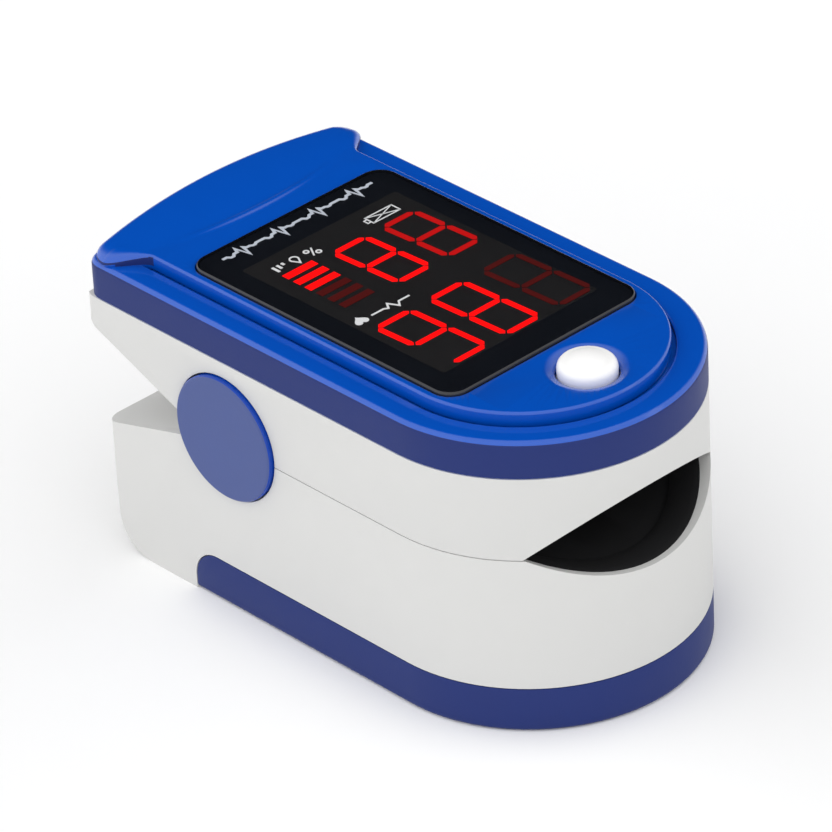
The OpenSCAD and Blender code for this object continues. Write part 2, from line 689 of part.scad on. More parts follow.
module positive_contact() {
    color([0.8, 0.8, 0.78]) {
        block([rear_plate_x - plate_thick + 0.01, -battery_y - 3.3, battery_z - 3.3], [rear_plate_x - 0.01, -0.7, battery_z + 3.3]);
        bar_x(rear_plate_x - 0.05, body_rear_x - stud_length - 0.02, -battery_y, battery_z, 1.8);
    }
}

module negative_contact() {
    color([0.8, 0.8, 0.78]) block([rear_plate_x - plate_thick + 0.01, 0.7, battery_z - 3.3], [rear_plate_x - 0.01, battery_y + 3.3, battery_z + 3.3]);
}

// tapered coil between a contact plate and a battery's flat end
module contact_coil(low_x, high_x, y, wide_low) {
    turns = 2;
    r = 0.25;
    steps = 22 * turns;
    path = [for (i = [0:steps]) let (a = 360 * turns * i / steps, f = i / steps, m = wide_low ? 3.2 - 1.2 * f : 2 + 1.2 * f)
        [low_x + r + 0.02 + (high_x - low_x - 2 * r - 0.04) * f, y + m * cos(a), battery_z + m * sin(a)]];
    wire(path, r, [1, 0, 0]);
}

module bridge_spring() {
    color([0.8, 0.8, 0.78]) contact_coil(body_front_x, front_plate_x, -battery_y, false);
}

module negative_spring() {
    color([0.8, 0.8, 0.78]) contact_coil(rear_plate_x, body_rear_x, battery_y, true);
}

// insulated wires from the rear contacts, past the hinge, to the main board
module battery_leads() {
    bend = 1;
    x = hinge_x - coil_radius;
    z = lead_z - 0.7;
    low_x = rear_plate_x + 0.35;
    color([0.1, 0.1, 0.6]) for (y = [-1.2, 1.2]) {
        translate([low_x, y, battery_z + 2.2]) cylinder(r = lead_radius, h = z - battery_z - 2.2 - 0.5);
        translate([low_x + 0.5, y, z - 0.5]) rotate([90, 0, 0]) rotate_extrude(angle = 90, start = 90) translate([0.5, 0]) circle(r = lead_radius);
        bar_x(low_x + 0.5, x - bend, y, z, lead_radius);
        translate([x - bend, y, z + bend]) rotate([90, 0, 0]) rotate_extrude(angle = 90, start = 270) translate([bend, 0]) circle(r = lead_radius);
        translate([x, y, z + bend]) cylinder(r = lead_radius, h = board_z - z - bend);
    }
}

module hinge_pin() {
    color([0.75, 0.76, 0.78]) bar_y(hinge_x, -half_width + 0.6, half_width - 0.6, hinge_z, pin_radius);
}

// round blue cap pressed into the lower ear over the end of the pin
module hinge_cap() {
    edge = 0.4;
    top = half_width + cap_proud;
    difference() {
        union() {
            bar_y(hinge_x, ear_outer + 0.05, top - edge, hinge_z, cap_radius);
            bar_y(hinge_x, ear_outer, top, hinge_z, cap_radius - edge);
            translate([hinge_x, top - edge, hinge_z]) rotate([-90, 0, 0]) rotate_extrude() translate([cap_radius - edge, 0]) circle(r = edge);
            bar_y(hinge_x, ear_inner + 0.05, top - 1, hinge_z, 2.4);
        }
        bar_y(hinge_x, 0, half_width - 0.5, hinge_z, pin_radius + seat_fit);
    }
}

module hinge_cap_left() {
    color([0.2, 0.26, 0.5]) hinge_cap();
}

module hinge_cap_right() {
    color([0.2, 0.26, 0.5]) mirror([0, 1, 0]) hinge_cap();
}

// torsion spring: one leg presses the upper shell's rib, the other the lower shell's
module hinge_spring() {
    turns = 4;
    pitch = 2 * wire_radius + 0.05;
    steps = 22 * turns;
    start_y = 8.6;
    coil = [for (i = [0:steps + 0]) let (a = 360 * turns * i / steps)
        [hinge_x + coil_radius * cos(a), start_y - pitch * turns * i / steps, hinge_z - coil_radius * sin(a)]];
    legs_up = [[hinge_x + coil_radius, start_y, hinge_z + 4.4], [hinge_x + coil_radius, start_y, hinge_z + 1]];
    end_y = start_y - pitch * turns;
    legs_down = [[hinge_x + coil_radius, end_y, hinge_z - 1], [hinge_x + coil_radius, end_y, scoop_low - pad_thick + 0.5]];
    wire(concat(legs_up, coil, legs_down), wire_radius, [0, 1, 0]);
}

module hinge_spring_left() {
    color([0.75, 0.76, 0.78]) hinge_spring();
}

module hinge_spring_right() {
    color([0.75, 0.76, 0.78]) mirror([0, 1, 0]) hinge_spring();
}

// blue tray that closes the battery bay and slides off forwards
module battery_cover() {
    color([0.16, 0.22, 0.5]) {
        difference() {
            intersection() {
                swept_edge(cover_rear_x) {
                    translate([0, cover_fillet]) square([half_width, cover_height - cover_fillet]);
                    square([half_width - cover_fillet, cover_height]);
                    translate([half_width - cover_fillet, cover_fillet]) circle(r = cover_fillet);
                }
                side_slab(body_width + 2) cover_side(0);
            }
            slab(cover_wall, cover_rear_x - 3, 0.5, cover_floor, 20);
            for (i = [-3:3]) bar_y(nose_x - 4 + 1.6 * i, -5, 5, -0.3, 0.55);
        }
        for (s = [-1, 1]) block([cover_rear_x + 3.4, s > 0 ? half_width - cover_wall - 0.6 : -half_width + 0.7, rail_z],
            [nose_x - 4, s > 0 ? half_width - 0.7 : -half_width + cover_wall + 0.6, rail_z + 0.6]);
    }
}

top_cover();
display_lens();
display_block();
digit_segments();
main_board();
processor_chip();
amplifier_chip();
clock_crystal();
key_switch();
upper_shell();
upper_finger_pad();
emitter_window();
emitter_led();
emitter_board();
emitter_pins();
upper_screws();
power_button();
lower_shell();
lower_finger_pad();
sensor_window();
photodiode();
sensor_board();
sensor_leads();
battery_left();
battery_right();
bridge_contact();
bridge_spring();
positive_contact();
negative_contact();
negative_spring();
battery_leads();
hinge_pin();
hinge_cap_left();
hinge_cap_right();
hinge_spring_left();
hinge_spring_right();
battery_cover();
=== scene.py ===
import math

import bmesh
import bpy
from mathutils import Matrix, Vector
from mathutils.geometry import delaunay_2d_cdt


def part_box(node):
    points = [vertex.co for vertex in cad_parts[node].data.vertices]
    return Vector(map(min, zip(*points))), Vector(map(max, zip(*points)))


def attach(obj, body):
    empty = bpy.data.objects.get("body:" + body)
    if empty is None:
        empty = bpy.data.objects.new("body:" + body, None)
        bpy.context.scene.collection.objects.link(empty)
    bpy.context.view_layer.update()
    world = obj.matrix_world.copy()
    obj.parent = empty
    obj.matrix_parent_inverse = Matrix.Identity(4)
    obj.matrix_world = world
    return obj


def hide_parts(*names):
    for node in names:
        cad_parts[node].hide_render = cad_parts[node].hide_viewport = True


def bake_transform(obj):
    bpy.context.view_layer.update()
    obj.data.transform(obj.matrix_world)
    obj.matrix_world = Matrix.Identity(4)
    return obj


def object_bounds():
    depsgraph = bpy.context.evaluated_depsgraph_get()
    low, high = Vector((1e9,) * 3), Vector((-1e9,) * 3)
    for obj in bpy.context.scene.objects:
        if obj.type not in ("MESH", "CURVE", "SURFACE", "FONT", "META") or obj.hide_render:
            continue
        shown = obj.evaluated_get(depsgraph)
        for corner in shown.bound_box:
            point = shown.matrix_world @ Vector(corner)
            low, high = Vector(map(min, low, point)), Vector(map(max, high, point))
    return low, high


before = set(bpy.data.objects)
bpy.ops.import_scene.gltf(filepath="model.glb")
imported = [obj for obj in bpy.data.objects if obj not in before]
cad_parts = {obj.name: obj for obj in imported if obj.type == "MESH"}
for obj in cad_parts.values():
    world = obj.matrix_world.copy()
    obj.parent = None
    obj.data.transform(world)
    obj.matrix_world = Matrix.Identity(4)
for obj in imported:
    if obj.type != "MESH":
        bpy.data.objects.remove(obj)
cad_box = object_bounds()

mm = 0.001

# Camera: a long lens that looks down on the nose and the near side from about 32 degrees.
# It is rolled by under three degrees.
azimuth = math.radians(47.46)
elevation = math.radians(32.2)
tilt = math.radians(-2.88)
distance = 0.5634
focal_length = 272.0
low, high = (Vector(corner) for corner in cad_box)
middle = (low + high) / 2
back = Vector((math.sin(azimuth) * math.cos(elevation), -math.cos(azimuth) * math.cos(elevation),
               math.sin(elevation)))
level = Vector((math.cos(azimuth), math.sin(azimuth), 0))
upright = back.cross(level)
right = level * math.cos(tilt) + upright * math.sin(tilt)
top = upright * math.cos(tilt) - level * math.sin(tilt)
lens = bpy.data.cameras.new("camera")
lens.lens = focal_length
lens.sensor_width = 36
lens.shift_x = -0.0185
lens.shift_y = 0.0172
lens.clip_start = 0.01
camera = bpy.data.objects.new("camera", lens)
bpy.context.collection.objects.link(camera)
place = middle + back * distance
camera.matrix_world = Matrix(((right.x, top.x, back.x, place.x), (right.y, top.y, back.y, place.y),
                              (right.z, top.z, back.z, place.z), (0, 0, 0, 1)))
bpy.context.scene.camera = camera
bpy.context.scene.view_settings.view_transform = "Standard"

# Studio light: a white tent all round, a little brighter on the long near side. A dark card
# stands behind the object, where the flat deck and the lens would mirror the tent.
def set_inputs(node, values):
    """Sets the named inputs of a shader node."""
    for name, value in values.items():
        node.inputs[name].default_value = value


def wire(links, *joints):
    """Links nodes, each time from one node's output to another node's input."""
    for source, output, target, socket in joints:
        links.new(source.outputs[output], target.inputs[socket])


card_direction = Vector((-back.x, -back.y, back.z))
bright_side = Vector((-0.5, -0.85, 0.1)).normalized()
tent_strength = 1.17
world = bpy.data.worlds.new("studio tent")
bpy.context.scene.world = world
world.use_nodes = True
nodes, links = world.node_tree.nodes, world.node_tree.links
tent = nodes["Background"]
tent.inputs["Color"].default_value = (1, 1, 1, 1)
sky = nodes.new("ShaderNodeTexCoord")
card_angle = nodes.new("ShaderNodeVectorMath")
card_angle.operation = "DOT_PRODUCT"
card_angle.inputs[1].default_value = card_direction
card = nodes.new("ShaderNodeMapRange")
card.interpolation_type = "SMOOTHSTEP"
set_inputs(card, {"From Min": math.cos(math.radians(42)), "From Max": math.cos(math.radians(20)),
                  "To Min": 1, "To Max": 0.015})
side_angle = nodes.new("ShaderNodeVectorMath")
side_angle.operation = "DOT_PRODUCT"
side_angle.inputs[1].default_value = bright_side
side_light = nodes.new("ShaderNodeMapRange")
set_inputs(side_light, {"From Min": -1, "From Max": 1, "To Min": tent_strength * 0.92,
                        "To Max": tent_strength * 1.2})
strength = nodes.new("ShaderNodeMath")
strength.operation = "MULTIPLY"
wire(links, (sky, "Generated", card_angle, 0), (sky, "Generated", side_angle, 0),
            (card_angle, "Value", card, "Value"), (side_angle, "Value", side_light, "Value"),
            (card, "Result", strength, 0), (side_light, "Result", strength, 1),
            (strength, 0, tent, "Strength"))


# Floor: a wide sheet of pale matte paper that the object stands on. It isn't part of the
# object. Its surface is one flat face with a faint paper tooth.
def paint(red, green, blue):
    """Linear colour of a paint chip that is given in the usual 0 to 255 display values."""
    shares = (c / 255 for c in (red, green, blue))
    return tuple(c / 12.92 if c <= 0.04045 else ((c + 0.055) / 1.055) ** 2.4 for c in shares)


def moulding(name, colour, roughness, mottle=0.06, grain_size=0.2 * mm, relief=0.006 * mm, edge_wear_and_highlight=0.0,
             metallic=0.0, gloss=0.5, patch_size=4 * mm):
    """Surface with slow patches in colour and gloss, a fine grain, and paler edges, partly wear and partly
    painted highlight.
    """
    material = bpy.data.materials.new(name)
    material.use_nodes = True
    nodes, links = material.node_tree.nodes, material.node_tree.links
    shader = nodes["Principled BSDF"]
    set_inputs(shader, {"Metallic": metallic, "Specular IOR Level": gloss})
    place = nodes.new("ShaderNodeTexCoord")
    patches = nodes.new("ShaderNodeTexNoise")
    set_inputs(patches, {"Scale": 1 / patch_size, "Detail": 4})
    grain = nodes.new("ShaderNodeTexNoise")
    set_inputs(grain, {"Scale": 1 / grain_size, "Detail": 2})
    tint = nodes.new("ShaderNodeMix")
    tint.data_type = "RGBA"
    set_inputs(tint, {"A": (*(c * (1 - mottle) for c in colour), 1),
                      "B": (*(min(c * (1 + mottle), 1) for c in colour), 1)})
    edge = nodes.new("ShaderNodeNewGeometry")
    # Edges turn paler by their pointiness: partly wear, partly a painted highlight along rounded edges.
    worn_and_highlit = nodes.new("ShaderNodeMapRange")
    set_inputs(worn_and_highlit, {"From Min": 0.54, "From Max": 0.62, "To Max": edge_wear_and_highlight})
    rubbed_and_highlit = nodes.new("ShaderNodeMix")
    rubbed_and_highlit.data_type = "RGBA"
    rubbed_and_highlit.inputs["B"].default_value = (*(c * 0.4 + 0.45 for c in colour), 1)
    sheen = nodes.new("ShaderNodeMapRange")
    set_inputs(sheen, {"To Min": roughness * 0.85, "To Max": min(roughness * 1.15, 1)})
    bump = nodes.new("ShaderNodeBump")
    set_inputs(bump, {"Strength": 1, "Distance": relief})
    for noise in (patches, grain):
        links.new(place.outputs["Object"], noise.inputs["Vector"])
    wire(links, (patches, "Fac", tint, "Factor"), (edge, "Pointiness", worn_and_highlit, "Value"),
                (worn_and_highlit, "Result", rubbed_and_highlit, "Factor"), (tint, "Result", rubbed_and_highlit, "A"),
                (rubbed_and_highlit, "Result", shader, "Base Color"), (patches, "Fac", sheen, "Value"),
                (sheen, "Result", shader, "Roughness"), (grain, "Fac", bump, "Height"),
                (bump, "Normal", shader, "Normal"))
    return material


def box_corners(half_x, half_y):
    """The four corners of a rectangle about its own middle, in order."""
    return [Vector((x * half_x, y * half_y)) for x, y in ((-1, -1), (1, -1), (1, 1), (-1, 1))]


floor_reach = 1.5
floor_mesh = bpy.data.meshes.new("floor")
floor_mesh.from_pydata([(*corner, 0) for corner in box_corners(floor_reach, floor_reach)], [], [(0, 1, 2, 3)])
floor_mesh.materials.append(moulding("white paper", (0.965, 0.965, 0.968), 0.9, mottle=0.003, gloss=0.1,
                                     grain_size=1 * mm, relief=0.005 * mm, patch_size=40 * mm))
floor = bpy.data.objects.new("floor", floor_mesh)
bpy.context.collection.objects.link(floor)


# Upper and lower shells: the two white halves of the clip, injection moulded in satin ABS.
# They keep their moulded walls, and every edge gets the small radius of a real tool.
def shade_group(limit):
    """Modifier group that joins the seams, and shades smooth except across edges over the limit."""
    tree = bpy.data.node_groups.new("smooth under limit", "GeometryNodeTree")
    tree.interface.new_socket("Geometry", in_out="INPUT", socket_type="NodeSocketGeometry")
    tree.interface.new_socket("Geometry", in_out="OUTPUT", socket_type="NodeSocketGeometry")
    start = tree.nodes.new("NodeGroupInput")
    end = tree.nodes.new("NodeGroupOutput")
    seams = tree.nodes.new("GeometryNodeMergeByDistance")
    seams.inputs["Distance"].default_value = 0.0005 * mm
    smooth = tree.nodes.new("GeometryNodeSetShadeSmooth")
    angle = tree.nodes.new("GeometryNodeInputMeshEdgeAngle")
    sharp = tree.nodes.new("FunctionNodeCompare")
    sharp.operation = "GREATER_THAN"
    sharp.inputs["B"].default_value = limit
    normal = tree.nodes.new("GeometryNodeSetMeshNormal")
    normal.mode = "SHARPNESS"
    normal.inputs["Remove Custom"].default_value = True
    wire(tree.links, (start, 0, seams, "Geometry"), (seams, "Geometry", smooth, "Geometry"),
                     (smooth, "Geometry", normal, "Mesh"), (angle, "Unsigned Angle", sharp, "A"),
                     (sharp, "Result", normal, "Edge Sharpness"), (normal, "Mesh", end, 0))
    return tree


smooth_shading = shade_group(math.radians(32))


def soften(piece, width, segments=3):
    """Gives a moulded or cut piece its small edge radius, without touching its mesh."""
    piece.modifiers.new("seams", "NODES").node_group = smooth_shading
    if not width:
        return
    flats = piece.modifiers.new("flats", "DECIMATE")
    flats.decimate_type = "DISSOLVE"
    flats.angle_limit = math.radians(0.6)
    radius = piece.modifiers.new("edge radius", "BEVEL")
    radius.width = width
    radius.segments = segments
    radius.limit_method = "ANGLE"
    radius.angle_limit = math.radians(34)
    radius.miter_outer = "MITER_ARC"
    piece.modifiers.new("shading", "NODES").node_group = smooth_shading


def dress(node, material, width, segments=2):
    """Keeps a node of the frame as the visible piece, with its own material and edge radius."""
    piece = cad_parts[node]
    piece.data.materials.clear()
    piece.data.materials.append(material)
    soften(piece, width, segments)
    return piece


shell_white = moulding("white ABS", (0.615, 0.615, 0.605), 0.42, mottle=0.012, grain_size=0.16 * mm,
                       relief=0.004 * mm, gloss=0.35)
for node in ("upper_shell", "lower_shell"):
    dress(node, shell_white, 0.18 * mm, 3)

# Finger pads: two soft black silicone beds, pressed into the shells on either side of the
# finger. They are matte, with a faint dusty tooth.
pad_black = moulding("black silicone", (0.007, 0.007, 0.008), 0.78, mottle=0.25, grain_size=0.12 * mm,
                     relief=0.012 * mm, gloss=0.3)
for node in ("upper_finger_pad", "lower_finger_pad"):
    dress(node, pad_black, 0.15 * mm)

# Top cover: one blue ABS moulding with a band round the body, a ledge, a groove, and a raised
# deck that flares into a full-width tail with a thumb grip. Its outer wall is finely textured, and
# it is drawn in a darker copy of the blue as painted shade.
half_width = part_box("upper_shell")[1].y
half_length = (high.x - low.x) / 2
nose_x = half_length - half_width
cover_low, cover_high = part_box("top_cover")
band_low = cover_low.z
crest = cover_high.z
crest_rise = 0.7 * mm
deck_rise = 1.05 * mm
deck = crest - crest_rise
ledge = deck - deck_rise
rear_bulge = 0.9 * mm
tail_bulge = 1.7 * mm


def plan(inset, bulge, corner, height):
    """Points round the body at one height: near side, nose, far side, and the curved rear."""
    half = half_width - inset
    corner = max(corner - inset, 0.2 * mm)
    start = half - corner
    lean = math.atan(2 * bulge * start / half_width ** 2)
    end = start + corner * math.sin(lean)
    centre = -half_length + inset + bulge * (end / half_width) ** 2 + corner * math.cos(lean)
    near = [(centre + (nose_x - centre) * i / 12, -half) for i in range(12)]
    nose = [(nose_x + half * math.cos(a), half * math.sin(a))
            for a in (math.radians(-90 + 180 * i / 64) for i in range(64))]
    far = [(nose_x + (centre - nose_x) * i / 12, half) for i in range(12)]
    turn = math.radians(90) - lean
    bend = [(math.radians(90) + turn * i / 6) for i in range(6)]
    far_corner = [(centre + corner * math.cos(a), start + corner * math.sin(a)) for a in bend]
    rear = [(-half_length + inset + bulge * (y / half_width) ** 2, y)
            for y in (end - 2 * end * i / 24 for i in range(25))]
    near_corner = [(x, -y) for x, y in reversed(far_corner[1:])]
    return [Vector((x, y, height)) for x, y in near + nose + far + far_corner + rear + near_corner]


def join(mesh, lower, upper):
    """Joins two rings of vertices with four-sided faces."""
    for i in range(len(lower)):
        j = (i + 1) % len(lower)
        mesh.faces.new((lower[i], lower[j], upper[j], upper[i]))


def wall(mesh, rings):
    """Joins rings of points of equal count into a wall, and returns its rings of vertices."""
    loops = [[mesh.verts.new(point) for point in ring] for ring in rings]
    for lower, upper in zip(loops, loops[1:]):
        join(mesh, lower, upper)
    return loops


def cap_ends(mesh, loops):
    """Closes the first and the last ring of a wall with a face each."""
    mesh.faces.new(list(reversed(loops[0])))
    mesh.faces.new(loops[-1])


def skin(name, rings, closed=False):
    """Piece made of rings of points, either closed round to its first ring or capped at its ends."""
    mesh = bmesh.new()
    loops = wall(mesh, rings)
    if closed:
        join(mesh, loops[-1], loops[0])
    else:
        cap_ends(mesh, loops)
    return finish_mesh(name, mesh)


def finish_mesh(name, mesh, limit=32):
    """Turns the faces outwards, and shades them smooth except across sharp edges."""
    bmesh.ops.recalc_face_normals(mesh, faces=mesh.faces)
    data = bpy.data.meshes.new(name)
    mesh.to_mesh(data)
    mesh.free()
    data.shade_smooth()
    data.set_sharp_from_angle(angle=math.radians(limit))
    piece = bpy.data.objects.new(name, data)
    bpy.context.collection.objects.link(piece)
    return piece


def fit(piece, body, materials, replaced=()):
    """Sets a finished piece on its body and the nodes that it replaces."""
    for material in materials:
        piece.data.materials.append(material)
    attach(piece, body)
    for node in replaced:
        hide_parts(node)
    return piece


def fillet(centre_inset, centre_height, radius, first, last, count):
    """Points of a quarter bend in a section, as inset from the side and height."""
    angles = [math.radians(first + (last - first) * i / count) for i in range(count + 1)]
    return [(centre_inset - radius * math.cos(a), centre_height + radius * math.sin(a)) for a in angles]


# Its paler edges are a painted highlight along the rounded edges of the moulding.
cover_blue = moulding("blue ABS, polished", paint(0, 78, 184), 0.16, mottle=0.03, grain_size=0.35 * mm,
                      relief=0.001 * mm, edge_wear_and_highlight=0.06, gloss=0.5)
cover_blue.node_tree.nodes["Principled BSDF"].inputs["Coat Weight"].default_value = 0.35
cover_blue.node_tree.nodes["Principled BSDF"].inputs["Coat Roughness"].default_value = 0.06
# The walls are drawn in a darker copy of the polished blue as painted shade; the moulding is one blue
# throughout.
wall_blue_painted_shade = moulding("blue ABS, textured, painted shade", (0.010, 0.024, 0.142), 0.5, mottle=0.05, grain_size=0.22 * mm,
                     relief=0.008 * mm, gloss=0.25)

# The band: outer wall, rounded edge, flat ledge and a fine groove at the foot of the deck.
band_edge = 0.6 * mm
groove_depth = 0.5 * mm
section = [(1.7 * mm, band_low), (0.15 * mm, band_low), (0, band_low + 0.12 * mm)]
section += [(0, band_low + (ledge - band_edge - band_low) * t) for t in (0.35, 0.7)]
section += fillet(band_edge, ledge - band_edge, band_edge, 0, 90, 7)
section += [(1.5 * mm, ledge), (2.45 * mm, ledge)]
section += [(2.62 * mm, ledge - 0.04 * mm), (2.72 * mm, ledge - 0.14 * mm), (2.76 * mm, ledge - groove_depth)]
section += [(3.4 * mm, ledge - groove_depth), (3.4 * mm, ledge - 1.2 * mm), (1.7 * mm, ledge - 1.4 * mm)]
band = skin("top_cover_band", [plan(inset, rear_bulge, 2 * mm, z) for inset, z in section], closed=True)
# Steep faces of the band below the ledge take the darker blue as painted shade.
for face in band.data.polygons:
    if abs(face.normal.z) < 0.35 and face.center.z < ledge - 0.3 * mm:
        face.material_index = 1
fit(band, "upper_half", [cover_blue, wall_blue_painted_shade], ["top_cover"])

# The deck and tail: a flat top with a pocket for the lens, a dish for the button, an S-shaped
# flare on each side, and a thumb grip that rises to the crest of the tail.
deck_half = half_width - 3.15 * mm
tail_half = half_width - 0.08 * mm
flare_start = -21.7 * mm
flare_end = -25.2 * mm
deck_foot = ledge - 0.35 * mm
grip_x = -20.95 * mm
grip_sag = 1.5 * mm
lip_height = 0.2 * mm
lip_width = 0.33 * mm
crown_drop = 0.75 * mm
lens_low, lens_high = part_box("display_lens")
lens_middle = (lens_low + lens_high) / 2
pocket_gap = 0.1 * mm
button_low, button_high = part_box("power_button")
button_middle = (button_low + button_high) / 2
button_hole = 2.85 * mm
dish_radius = 3.95 * mm
dish_depth = 0.56 * mm


def grip_line(y):
    """Where the thumb grip starts to rise: a shallow arc across the deck."""
    return grip_x - grip_sag * (y / (11 * mm)) ** 2


def tail_rear(y):
    """Where the tail ends: a shallow arc across the back."""
    return -half_length + tail_bulge * (y / half_width) ** 2


def deck_height(x, y):
    """Height of the deck's top: flat, with the dish round the button and the rising tail."""
    height = deck
    reach = math.hypot(x - button_middle.x, y)
    if reach < dish_radius:
        t = (dish_radius - reach) / (dish_radius - button_hole)
        height -= dish_depth * min(t, 1) ** 1.25
    start = grip_line(y)
    if x < start + 1 * mm:
        run = start - tail_rear(y)
        t = min(max((start - x) / run, 0), 1)
        rise = crest - deck - crown_drop * (y / half_width) ** 2
        height += rise * (1 - (1 - t) ** 2.2)
        lip = max(1 - (y / (12 * mm)) ** 2, 0) ** 1.5
        height += lip_height * lip * math.exp(-((x - start) / lip_width) ** 2)
    return height


def deck_plan():
    """Outline of the deck and tail, with the points in order round the part."""
    corner = 2.1 * mm
    start = tail_half - corner
    lean = math.atan(2 * tail_bulge * start / half_width ** 2)
    end = start + corner * math.sin(lean)
    centre = tail_rear(end) + corner * math.cos(lean)
    near = [(centre + (flare_end - centre) * i / 3, -tail_half) for i in range(3)]
    for i in range(14):
        t = i / 14
        near.append((flare_end + (flare_start - flare_end) * t,
                     -tail_half + (tail_half - deck_half) * t * t * (3 - 2 * t)))
    near += [(flare_start + (nose_x - flare_start) * i / 30, -deck_half) for i in range(30)]
    nose = [(nose_x + deck_half * math.cos(a), deck_half * math.sin(a))
            for a in (math.radians(-90 + 180 * i / 64) for i in range(1, 64))]
    nose.insert(0, (nose_x, -deck_half))
    far = [(x, -y) for x, y in reversed(near)]
    far.insert(0, (nose_x, deck_half))
    turn = math.radians(90) - lean
    bend = [math.radians(90) + turn * i / 6 for i in range(1, 6)]
    far_corner = [(centre + corner * math.cos(a), start + corner * math.sin(a)) for a in bend]
    rear = [(tail_rear(y), y) for y in (end - 2 * end * i / 36 for i in range(37))]
    near_corner = [(x, -y) for x, y in reversed(far_corner)]
    return [Vector(point) for point in near + nose + far + far_corner + rear + near_corner]


def outward(points, i):
    """Level direction that points out of a closed outline at one of its points."""
    along = points[(i + 1) % len(points)] - points[i - 1]
    return Vector((along.y, -along.x)).normalized()


def rounded_box(length, width, radius, count=8):
    """Outline of a rectangle with round corners, about its own middle."""
    points = []
    for quarter, (sx, sy) in enumerate(((1, 1), (-1, 1), (-1, -1), (1, -1))):
        for i in range(count + 1):
            a = math.radians(90 * quarter + 90 * i / count)
            points.append(Vector((sx * (length / 2 - radius) + radius * math.cos(a),
                                  sy * (width / 2 - radius) + radius * math.sin(a))))
    return points


def circle(centre, radius, count):
    """Points round a level circle."""
    return [Vector((centre.x + radius * math.cos(a), centre.y + radius * math.sin(a)))
            for a in (2 * math.pi * i / count for i in range(count))]


def inside(point, loop):
    """True where the point lies within a closed loop."""
    found = False
    for i in range(len(loop)):
        a, b = loop[i - 1], loop[i]
        if (a.y > point.y) != (b.y > point.y):
            if point.x < (b.x - a.x) * (point.y - a.y) / (b.y - a.y) + a.x:
                found = not found
    return found


outer = deck_plan()
deck_edge = 0.28 * mm
tail_side_edge = Vector((2.3 * mm, 1.0 * mm))
tail_rear_edge = Vector((0.9 * mm, 0.8 * mm))
edge_steps = 7
foot_ring, low_ring, rim, drops = [], [], [], []
for i, point in enumerate(outer):
    out = outward(outer, i)
    t = min(max((flare_start - point.x) / (flare_start - flare_end), 0), 1)
    flare = t * t * (3 - 2 * t)
    if 0 < t < 1:
        out = Vector((0, math.copysign(1, point.y)))
    across = deck_edge + (tail_side_edge.x - deck_edge) * flare
    along = deck_edge + (tail_rear_edge.x - deck_edge) * flare
    rim.append(point - Vector((out.x * along, out.y * across)))
    side = abs(out.y) ** 2
    drops.append(deck_edge + (tail_side_edge.y * side + tail_rear_edge.y * (1 - side) - deck_edge) * flare)
    foot_ring.append(Vector((*(point - out * 0.2 * mm * flare), deck_foot)))
    low_ring.append(Vector((*(point - out * 0.15 * mm * flare), ledge + 0.02 * mm)))
wall_rings = [foot_ring, low_ring]
for step in range(edge_steps + 1):
    a = math.radians(90 * step / edge_steps)
    ring = []
    for point, inner, drop in zip(outer, rim, drops):
        level = point + (inner - point) * (1 - math.cos(a))
        ring.append(Vector((*level, deck_height(*inner) - drop + drop * math.sin(a))))
    wall_rings.append(ring)
top_loop = [Vector(p[:2]) for p in wall_rings[-1]]
pocket_length = lens_high.x - lens_low.x + 2 * pocket_gap
pocket_width = lens_high.y - lens_low.y + 2 * pocket_gap
pocket = [p + lens_middle.xy for p in rounded_box(pocket_length, pocket_width, 2.1 * mm)]
pocket_rim = [p + outward(pocket, i) * 0.12 * mm for i, p in enumerate(pocket)]
hole_edge = button_hole + 0.1 * mm
hole_rim = circle(button_middle, hole_edge, 48)
spread = []
for i in range(1, 6):
    spread += circle(button_middle, hole_edge + (dish_radius - button_hole - 0.05 * mm) * i / 5, 48)
for row in range(-22, 4):
    step = row / 4 if row >= -4 else -1 + (row + 4) * 0.36
    for column in range(-26, 27):
        y = column * 0.6 * mm
        spread.append(Vector((grip_line(y) + step * 0.95 * mm, y)))
for k in (-3, -2, -1, 1, 2, 3):
    spread += [Vector((grip_line(y) + k * 0.1 * mm, y)) for y in (c * 0.6 * mm for c in range(-20, 21))]
inner_edge = [p + (p - q).normalized() * 0.2 * mm for p, q in zip(rim, outer)]
spread = [p for p in spread if inside(p, inner_edge) and not inside(p, pocket_rim)]


def fill(mesh, loops, extra, height):
    """Fills the first loop, except for the loops within it, with triangles at a height for each point."""
    points, edges = [], []
    for loop in loops:
        start = len(points)
        edges += [(start + i, start + (i + 1) % len(loop)) for i in range(len(loop))]
        points += loop
    flat, _, triangles, _, _, _ = delaunay_2d_cdt(points + extra, edges, [], 0, 1e-9)
    surface = [mesh.verts.new((p.x, p.y, height(p.x, p.y))) for p in flat]
    for triangle in triangles:
        centre = sum((flat[i] for i in triangle), Vector((0, 0))) / len(triangle)
        if inside(centre, loops[0]) and not any(inside(centre, loop) for loop in loops[1:]):
            mesh.faces.new([surface[i] for i in triangle])


